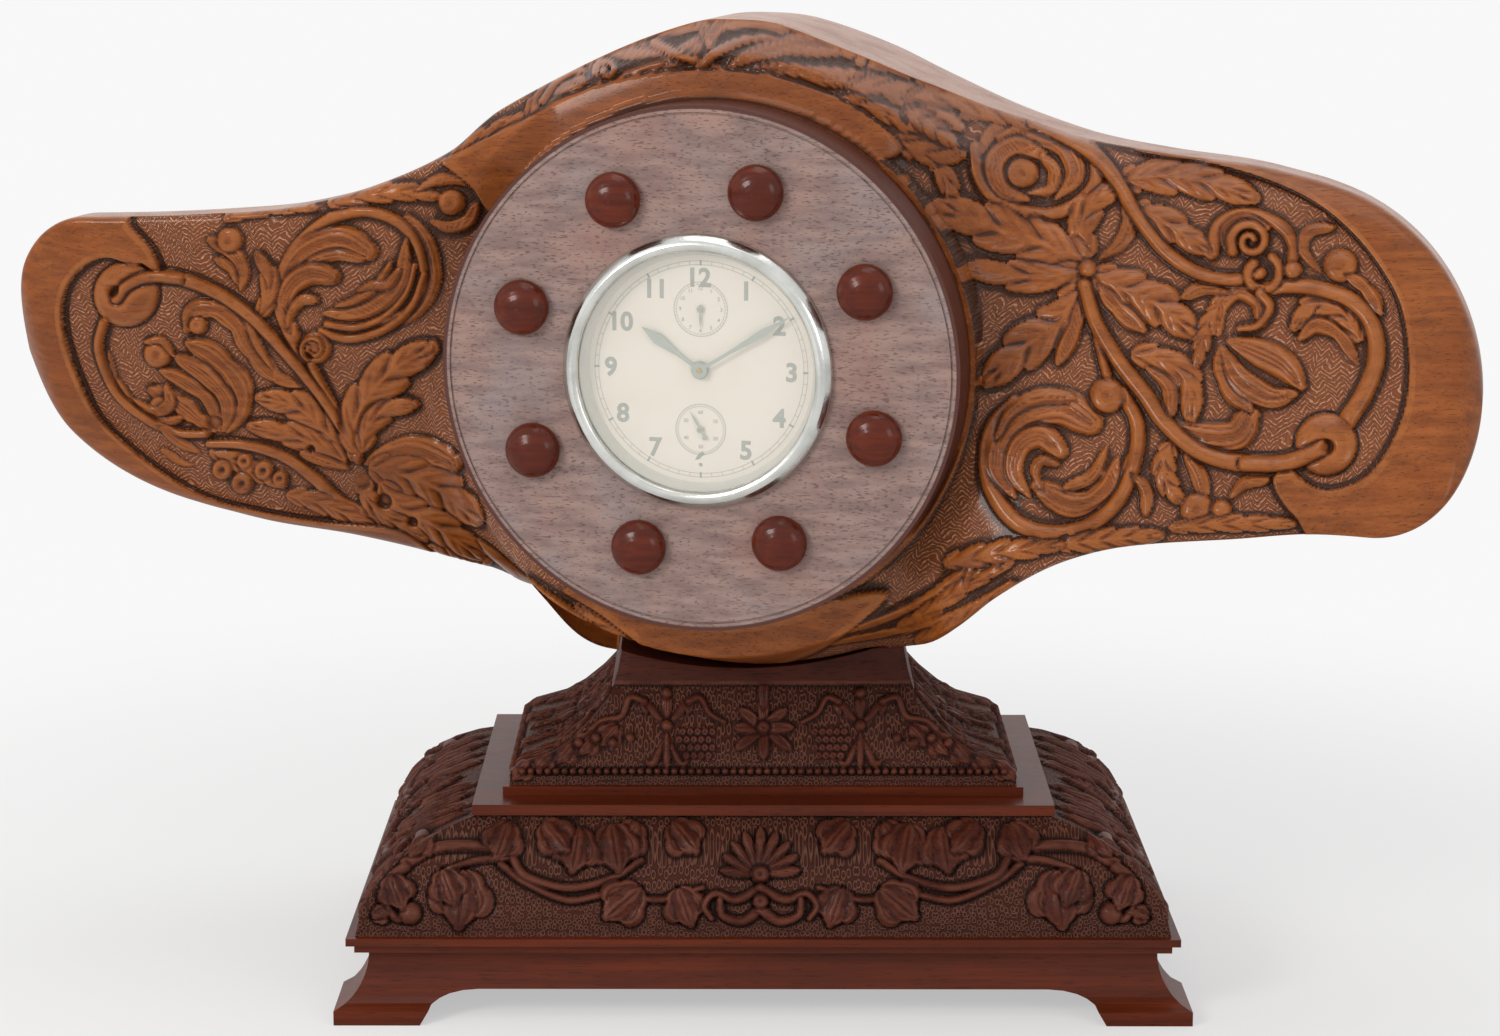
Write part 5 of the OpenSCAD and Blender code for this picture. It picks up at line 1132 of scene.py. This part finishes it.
def carved_part(name, r, depth, step):
    """One stretch of the propeller's front, carved and closed round both edges."""
    a = front_angles(int(FRONT_HEIGHT / step))
    along, off, z = propeller_grid(r, a)
    shape = along.shape
    radius = np.hypot(along, z)
    sheet = on_sheet(hub_to_world(along, off, z)).reshape(-1, 2)
    c = propeller_relief(sheet, along.ravel(), z.ravel(), depth)
    height = c.height.reshape(shape)
    rise = np.sin(np.radians(a))
    facing = ease(*EDGE_FADE, np.abs(rise)) * (rise > 0)
    off = off - (depth - height) * facing
    over_seat = (radius < SEAT_R + 3) & (off > 0) & (facing > 0)
    off = np.where(over_seat, np.maximum(off, HUB_FRONT + 0.1), off)
    faces = quads(*shape)
    scale = 1.0
    # On the hub, points near the disc's seat move onto its circle, and the faces inside it go
    if np.abs(r).max() <= HUB_SPLIT:
        front = off > FRONT_FROM
        snapped = (np.abs(radius - SEAT_R) < step * 0.75) & front
        scale = np.where(snapped, SEAT_R / np.maximum(radius, 1e-6), 1)
        inside = (radius < SEAT_R - step * 0.2) & front & ~snapped
        faces = faces[~inside.ravel()[faces].any(1)]
    world = seated(hub_to_world(along * scale, off, z * scale))
    # Painted shade round the disc, added to and deepening the painted shade of the hollows
    hub_shade = HUB_SHADE * (1 - ease(*HUB_SHADE_R, radius)) * (z > HUB_SHADE_FROM)
    marks = {"hollow_shade": ((dirt_of(height) * (1 + 3 * hub_shade) + hub_shade) * facing).ravel(),
             "plain": np.maximum(c.plain, 1 - np.broadcast_to(facing, shape).ravel()),
             "sheet": np.stack([along.ravel(), z.ravel(), np.zeros(along.size)], -1)}
    return piece(name, world.reshape(-1, 3), faces, "carved_walnut", marks)


def turned(name, profile, look, steps=160, smooth=True):
    """A surface turned about the dial's axis, from (radius, level) pairs."""
    p = np.array(profile, float)
    a = np.linspace(0, 2 * np.pi, steps, endpoint=False)
    world = hub_to_world(p[:, :1] * np.cos(a), np.repeat(p[:, 1:], steps, 1), p[:, :1] * np.sin(a))
    row = np.arange(len(p) - 1)[:, None] * steps
    i, j = row + np.arange(steps), row + (np.arange(steps) + 1) % steps
    faces = np.stack([i, j, j + steps, i + steps], -1).reshape(-1, 4)
    return piece(name, world.reshape(-1, 3), faces, look, smooth=smooth)


def build_propeller(depth, step):
    """The carved front in three stretches, the back, and the walls of the hub's recess and bore."""
    stretches = (("propeller_hub", stations(-HUB_SPLIT, HUB_SPLIT, step)),
                 ("blade_left", stations(-HUB_SPLIT, -BLADE, step)[::-1]),
                 ("blade_right", stations(HUB_SPLIT, BLADE, step)))
    fronts = [carved_part(name, r, depth, step) for name, r in stretches]
    half = stations(0, BLADE, BACK_STEP)
    last = front_angles(4)[-1]
    both = np.concatenate([-half[::-1], half[1:]])
    along, off, z = propeller_grid(both, np.linspace(last, 540 - last, 96))
    radius = np.hypot(along, z)
    # The bore opens the flat back in the same way
    snapped = (off < -HUB_BACK + 0.01) & (np.abs(radius - BORE_R) < 1.7)
    scale = np.where(snapped, BORE_R / np.maximum(radius, 1e-6), 1)
    world = seated(hub_to_world(along * scale, off, z * scale)).reshape(-1, 3)
    inside = (radius < BORE_R - 0.3) & ~snapped
    faces = quads(*along.shape)
    faces = faces[~inside.ravel()[faces].any(1)]
    piece("propeller_back", world, faces, "plain_walnut")
    wall = ((SEAT_R, BOSS_FRONT), (SEAT_R, HUB_FRONT), (RECESS_R, HUB_FRONT), (RECESS_R, RECESS_LEVEL),
            (BORE_R, RECESS_LEVEL), (BORE_R, -HUB_BACK))
    turned("hub_bore", wall, "plain_walnut", smooth=False)
    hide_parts("propeller")


# Plinth and neck


def vine_leaf(c, x, y, turn, size, rise):
    """A hanging leaf with a midrib and two curled lobes."""
    t = math.radians(turn)

    def at(along, aside):
        return (x + size * (along * math.cos(t) - aside * math.sin(t)),
                y + size * (along * math.sin(t) + aside * math.cos(t)))

    for side in (1, -1):
        c.leaf([(x, y), at(.5, .3 * side), at(.8, .2 * side)], size * .42, rise, 2, 2)
    c.leaf([(x, y), at(.5, 0), at(1, 0)], size * .45, rise * 1.1, 1, 2)


# Half of the block's vine: stems with their half widths, and leaves with place, turn and size
BLOCK_STEMS = (([(690, 470), (620, 490), (540, 480), (470, 490), (400, 460), (360, 430)], (5, 7)),
               ([(590, 425), (540, 455), (470, 470), (400, 450), (370, 410), (310, 400), (250, 405),
                 (205, 430)], (6, 10)),
               ([(205, 435), (180, 455), (170, 490), (190, 520), (215, 515)], (9, 7)),
               ([(370, 420), (320, 425), (275, 440)], (6, 6)))
BLOCK_LEAVES = ((640, 362, 130, 62), (585, 362, 60, 60), (540, 365, 100, 76), (490, 370, 80, 72),
                (430, 362, 130, 60), (375, 362, 70, 62), (300, 440, 85, 92), (265, 440, 110, 60),
                (590, 470, 40, 74), (650, 470, 110, 64), (200, 372, 120, 50), (240, 372, 60, 50),
                (180, 450, 110, 56), (150, 520, 200, 30))
# Stems under the palmette, from its middle
PALMETTE_STEMS = (([(0, 470), (40, 490), (75, 480), (92, 500), (80, 520)], (8, 5)),
                  ([(0, 505), (30, 525), (62, 515), (66, 490)], (9, 6)))


def rayed_leaf(c, x, y, turn, reach, width, rise, ribs, squash=1):
    """A straight leaf from a centre; squash shortens what it has of height."""
    t = math.radians(turn)
    dx, dy = math.cos(t) * reach, math.sin(t) * reach * squash
    c.leaf([(x, y), (x + dx * .5, y + dy * .5), (x + dx, y + dy)], width, rise, ribs)


def carve_block(c, rise):
    """Vines with hanging leaves to both sides of a palmette."""
    c.use(*BASE_SHEET)
    centre = 785
    for side in (-1, 1):
        for points, widths in BLOCK_STEMS:
            c.stem([(centre + side * (x - centre), y) for x, y in points], widths, rise)
        c.ball(centre + side * (212 - centre), 512, 19, rise * 1.2)
        for x, y, turn, size in BLOCK_LEAVES:
            mirrored = turn if side < 0 else 180 - turn
            vine_leaf(c, centre + side * (x - centre), y, mirrored, size, rise * 1.05)
    for k in range(-4, 5):
        rayed_leaf(c, centre, 448, 21 * k - 90, 74 - 3 * abs(k), 13, rise * 1.2, 1)
    c.ball(centre, 448, 15, rise * 1.4, dent=0.4)
    for side in (-1, 1):
        for points, widths in PALMETTE_STEMS:
            c.stem([(centre + side * x, y) for x, y in points], widths, rise)
    c.ball(centre, 492, 13, rise * 1.2, dent=0.4)


def carve_neck(c, rise):
    """Lilies joined by scroll bands, a star flower between them and beads along the foot."""
    c.use(*BASE_SHEET)
    centre = 790
    for side in (-1, 1):
        x = centre + side * 158
        c.leaf([(x, 200), (x, 180), (x, 150)], 13, rise * 1.2, 1)
        c.ball(x, 152, 9, rise * 1.2)
        for lean in (-1, 1):
            c.leaf([(x, 205), (x + lean * 20, 185), (x + lean * 38, 165), (x + lean * 34, 185)], 11, rise, 1)
            c.leaf([(x, 215), (x + lean * 8, 240), (x + lean * 24, 268), (x + lean * 34, 262)], 9, rise, 1)
        c.ball(x, 205, 10, rise * 1.2)
        c.leaf([(x, 215), (x, 245), (x, 275)], 9, rise, 1)
        for points, widths in (([(36, 165), (60, 160), (75, 190), (110, 200), (150, 240)], (6, 5)),
                               ([(-36, 165), (-55, 160), (-70, 185), (-95, 200)], (6, 4))):
            c.stem([(x + side * out, y) for out, y in points], widths, rise)
        for k in range(5):
            c.ball(x + side * (60 + 28 * k), 225 + 8 * (k % 2), 8, rise)
            vine_leaf(c, x + side * (80 + 36 * k), 205 + 14 * k, 90 - side * 40, 40, rise)
    for k, reach in enumerate((60, 62, 60, 46, 50, 62, 50, 46)):
        rayed_leaf(c, centre, 208, 45 * k + 45, reach, 15, rise * 1.25, 2, .8)
    c.ball(centre, 208, 11, rise * 1.4, dent=0.3)
    c.leaf([(centre, 178), (centre, 155), (centre, 128)], 14, rise * 1.2, 2)
    for side in (-1, 1):
        for k in range(19):
            row, place = k // 5, k % 5
            c.ball(centre + side * (84 + 12 * place + 6 * (row % 2)), 215 + 13 * row, 6.5, rise, dent=0.8)
    c.table(138 - c.at_sheet()[:, 1], rise * 0.5, 1.5)
    for k in range(58):
        c.ball(396 + 13.8 * k, 280, 6, rise * 0.8)


def profile_at(table, foot, head, t):
    """Half width at height fraction t."""
    p = np.array(table, float)
    return foot - (foot - head) * np.interp(t, p[:, 1], p[:, 0])


def carved_mass(name, foot, head, levels, shapes, marks_of, carving, step, rise, seat=False):
    """Four carved faces of a pyramid-like mass; sides carry the front's design narrowed to fit.

    Each face is the line of its half widths over the height, moved out by the carving along the slope.
    """
    made = []
    step_share, sunk, rise_share, rows = carving
    t = np.linspace(0, 1, rows)
    z = levels[0] + (levels[1] - levels[0]) * t
    for turn, label in enumerate(("front", "right", "rear", "left")):
        wide, deep = (0, 1) if turn % 2 == 0 else (1, 0)
        w = profile_at(shapes[wide], foot[wide], head[wide], t)
        d = profile_at(shapes[deep], foot[deep], head[deep], t)
        u = np.linspace(-1, 1, int(2 * foot[wide] / (step * step_share)))[:, None]
        x = u * w
        y = np.broadcast_to(-d, x.shape)
        zz = np.broadcast_to(z, x.shape)
        like = np.stack([x * foot[0] / foot[wide], y * foot[1] / foot[deep], zz], -1)
        c = Carving(on_sheet(like).reshape(-1, 2))
        marks_of(c, rise * rise_share)
        height = c.height.reshape(x.shape)
        slope = np.gradient(d, z)
        out, up = -1 / np.sqrt(1 + slope**2), -slope / np.sqrt(1 + slope**2)
        corner, low, high = FADE_IN
        edge = (ease(0, corner, w * (1 - np.abs(u))) * ease(0, low, z - levels[0])
                * ease(0, high, levels[1] - z))
        lift = (height - sunk) * edge
        points = spun(np.stack([x, y + out * lift, zz + up * lift * 0.8], -1), 90 * turn)
        if seat:
            points[..., 2] = np.minimum(points[..., 2], seat_height(points))
        # The first mark is painted shade in the carving's hollows
        marks = {"hollow_shade": dirt_of(height).ravel(), "plain": c.plain,
                 "sheet": np.stack([x.ravel(), (zz - y).ravel(), np.zeros(x.size)], -1)}
        made.append(piece(f"{name}_{label}", points.reshape(-1, 3), quads(*x.shape, flip=True),
                          "carved_mahogany", marks))
    return made[0]


def build_neck_seat():
    """The hollow on top of the neck: a grid at the height of a circle across the hub's width."""
    x, y = np.meshgrid(np.linspace(-1, 1, 80) * NECK_HEAD[0], np.linspace(-1, 1, 50) * NECK_HEAD[1],
                       indexing="ij")
    points = np.stack([x, y, 0 * x], -1)
    # The seat gets the least painted shade, evenly
    marks = {"hollow_shade": np.full(x.size, 0.15), "plain": np.ones(x.size), "sheet": points.reshape(-1, 3)}
    world = np.stack([x, y, seat_height(points) - 0.05], -1).reshape(-1, 3)
    piece("neck_seat", world, quads(*x.shape, flip=True), "carved_mahogany", marks)


# Dial


def figure_mesh(text, size, weight=0.02):
    """Points and faces of plain figures, centred."""
    curve = bpy.data.curves.new("figure", "FONT")
    curve.body = text
    curve.size = size
    curve.align_x = "CENTER"
    curve.offset = size * weight
    made = bpy.data.objects.new("figure", curve)
    bpy.context.scene.collection.objects.link(made)
    mesh = bpy.data.meshes.new_from_object(made.evaluated_get(bpy.context.evaluated_depsgraph_get()))
    points = np.array([v.co[:2] for v in mesh.vertices])
    faces = [list(p.vertices) for p in mesh.polygons]
    bpy.data.objects.remove(made)
    bpy.data.curves.remove(curve)
    bpy.data.meshes.remove(mesh)
    points -= (points.min(0) + points.max(0)) / 2
    return points, faces


def ring_strip(radius, half, count=120):
    """Points and faces of a thin flat ring."""
    a = np.linspace(0, 2 * np.pi, count, endpoint=False)
    round_once = np.stack([np.cos(a), np.sin(a)], -1)
    i = np.arange(count)
    j = (i + 1) % count
    return (np.concatenate([r * round_once for r in (radius - half, radius + half)]),
            np.stack([i, i + count, j + count, j], -1).tolist())


def bars(radius, length, half, count):
    """Radial strokes round a circle."""
    points, faces = [], []
    for k in range(count):
        a = math.radians(90 - 360 / count * k)
        c, s = math.cos(a), math.sin(a)
        faces.append([4 * k + i for i in range(4)])
        points += [((radius + e) * c - h * s, (radius + e) * s + h * c)
                   for e, h in ((-length, -half), (0, -half), (0, half), (-length, half))]
    return np.array(points), faces


class Print:
    """Collects flat figures into one printed piece."""

    def __init__(self):
        self.points = np.zeros((0, 2))
        self.faces = []

    def add(self, shape, at=(0, 0)):
        """Adds points and faces, moved to a place."""
        points, faces = shape
        n = len(self.points)
        self.points = np.vstack([self.points, np.asarray(points) + np.array(at)])
        self.faces += [[n + i for i in face] for face in faces]


def build_bezel():
    """The rolled bezel: a rounded ring profile turned about the dial's axis."""
    roll = spline(np.array(BEZEL_ROLL) + (0, FASCIA_FRONT), 6)
    bottom, seat = FASCIA_FRONT + 0.02, FASCIA_FRONT + BEZEL_SEAT
    inner = np.array(((BEZEL_ROLL[-1][0], seat), (BEZEL_BORE, seat), (BEZEL_BORE, bottom)))
    outer = np.array(((BEZEL_ROLL[0][0], bottom),))
    ring = turned("bezel_ring", np.concatenate([outer, roll, inner, outer]), "bright_nickel", 240)
    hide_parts("bezel")


def clock_place(radius, share, centre=0.0):
    """Where a share of the full turn lies on a circle of the dial."""
    a = math.radians(90 - 360 * share)
    return radius * math.cos(a), centre + radius * math.sin(a)


def build_dial():
    """Numerals, minute track and the two small dials."""
    bold, fine = Print(), Print()
    for hour in range(1, 13):
        bold.add(figure_mesh(str(hour), *NUMERAL), clock_place(NUMERAL_R, hour / 12))
    for radius in (TRACK_R, TRACK_R - TRACK_WIDE):
        fine.add(ring_strip(radius, TRACK_LINE, 240))
    fine.add(bars(TRACK_R, TRACK_WIDE, TRACK_LINE, 60))
    bold.add(bars(TRACK_R + 0.3, *HOUR_MARK, 12))
    hours, tens = range(1, 13), range(10, 70, 10)
    for centre, face, figures in ((SUB_R, ALARM_FACE, hours), (-SUB_R, SECONDS_FACE, tens)):
        outer, middle, size, marks = face
        for number in figures:
            fine.add(figure_mesh(str(number), size), clock_place(middle, number / figures[-1], centre))
        fine.add(ring_strip(outer, FACE_LINES[0]), (0, centre))
        fine.add(ring_strip(outer - FACE_MARK[0], FACE_LINES[1]), (0, centre))
        fine.add(bars(outer, *FACE_MARK, marks), (0, centre))
    for name, figures, look in (("dial_figures", bold, "print_grey"), ("dial_track", fine, "print_fine")):
        x, y = figures.points.T
        world = hub_to_world(x, 0 * x + DIAL_LEVEL + PRINT_LIFT, y)
        mesh = bpy.data.meshes.new(name)
        mesh.from_pydata((world * MM).tolist(), [], figures.faces)
        fitted(name, mesh, look)


# Operators


class CLOCK_OT_looks(bpy.types.Operator):
    """Gives every CAD node its finished material"""

    bl_idname = "clock.looks"
    bl_label = "Finish the woods and metals"

    def execute(self, context):
        by_slot = make_materials(settings()[0])
        missing = {m["slot"] for m in frame["record"]["materials"]} - set(by_slot)
        if missing:
            raise RuntimeError(f"no look for slots {sorted(missing)}")
        for part in frame["record"]["subparts"]:
            node = frame["nodes"][part["node"]]
            node.data.materials.clear()
            node.data.materials.append(by_slot[part["material_slot"]])
        return {"FINISHED"}


class CLOCK_OT_propeller(bpy.types.Operator):
    """Builds the carved propeller over its CAD form"""

    bl_idname = "clock.propeller"
    bl_label = "Carve the propeller"

    def execute(self, context):
        carving = settings()[1]
        build_propeller(in_mm(carving.depth), in_mm(carving.step))
        return {"FINISHED"}


class CLOCK_OT_base(bpy.types.Operator):
    """Builds the carved plinth block and neck over their CAD forms"""

    bl_idname = "clock.base"
    bl_label = "Carve the plinth"

    def execute(self, context):
        carving = settings()[1]
        rise, step = in_mm(carving.rise), in_mm(carving.step)
        block = carved_mass("block", BLOCK_FOOT, BLOCK_HEAD, BLOCK_Z, (BLOCK_SHAPE, BLOCK_SHAPE),
                            carve_block, BLOCK_CARVING, step, rise)
        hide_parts("carved_block")
        neck = carved_mass("neck", NECK_FOOT, NECK_HEAD, NECK_Z, (NECK_X, NECK_Y), carve_neck,
                           NECK_CARVING, step, rise, seat=True)
        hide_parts("neck_block")
        build_neck_seat()
        return {"FINISHED"}


class CLOCK_OT_dial(bpy.types.Operator):
    """Turns the bezel and prints the dial"""

    bl_idname = "clock.dial"
    bl_label = "Print the dial"

    def execute(self, context):
        build_bezel()
        build_dial()
        return {"FINISHED"}


class CLOCK_OT_stage(bpy.types.Operator):
    """Sets the floor, the lamps, the world and the camera"""

    bl_idname = "clock.stage"
    bl_label = "Set the stage"

    def execute(self, context):
        scene = context.scene
        scene.view_settings.view_transform = "Standard"
        scene.world = world_look("studio")
        mesh = bpy.data.meshes.new("floor")
        mesh.from_pydata(FLOOR, [], [(0, 1, 2, 3)])
        mesh.materials.append(floor_look("floor_paper"))
        self.placed(scene, "floor", mesh)
        for name, at, size, power, tint in LAMPS:
            data = bpy.data.lights.new(name, "AREA")
            data.size, data.energy, data.color = size, power, tint
            lamp = self.placed(scene, name, data)
            lamp.location = at
            aim = np.array(LAMP_TARGET) - np.array(at)
            lamp.rotation_euler = Vector(aim).to_track_quat("-Z", "Y").to_euler()
        data = bpy.data.cameras.new("view")
        data.lens, data.sensor_width = LENS, SENSOR
        data.clip_start, data.clip_end = 0.05, 100
        scene.camera = self.placed(scene, "view", data)
        right, up, forward = camera_axes()
        turn = Matrix([[right[i], up[i], -forward[i]] for i in range(3)]).to_4x4()
        turn.translation = Vector(CAMERA_AT * MM)
        scene.camera.matrix_world = turn
        return {"FINISHED"}

    def placed(self, scene, name, data):
        """A new object of the data in the scene."""
        made = bpy.data.objects.new(name, data)
        scene.collection.objects.link(made)
        return made


class CLOCK_PT_panel(bpy.types.Panel):
    """Lists the steps and settings of the clock."""

    bl_label = "Propeller clock"
    bl_idname = "CLOCK_PT_panel"
    bl_space_type = "VIEW_3D"
    bl_region_type = "UI"
    bl_category = "Clock"

    def draw(self, context):
        for operator in OPERATORS:
            self.layout.operator(operator.bl_idname)
        for group in settings():
            for key in group.__annotations__:
                self.layout.prop(group, key)


OPERATORS = (CLOCK_OT_looks, CLOCK_OT_propeller, CLOCK_OT_base, CLOCK_OT_dial, CLOCK_OT_stage)
CLASSES = (ClockWoods, ClockCarving, *OPERATORS, CLOCK_PT_panel)


def register():
    """Registers the classes and hangs the settings on the scene."""
    for cls in CLASSES:
        bpy.utils.register_class(cls)
    bpy.types.Scene.clock_woods = bpy.props.PointerProperty(type=ClockWoods)
    bpy.types.Scene.clock_carving = bpy.props.PointerProperty(type=ClockCarving)


def unregister():
    """Takes the settings and classes away again."""
    del bpy.types.Scene.clock_woods
    del bpy.types.Scene.clock_carving
    for cls in reversed(CLASSES):
        bpy.utils.unregister_class(cls)


def main():
    """Builds everything."""
    register()
    bpy.ops.clock.looks()
    bpy.ops.clock.propeller()
    bpy.ops.clock.base()
    bpy.ops.clock.dial()
    bpy.ops.clock.stage()


if __name__ == "__main__":
    main()
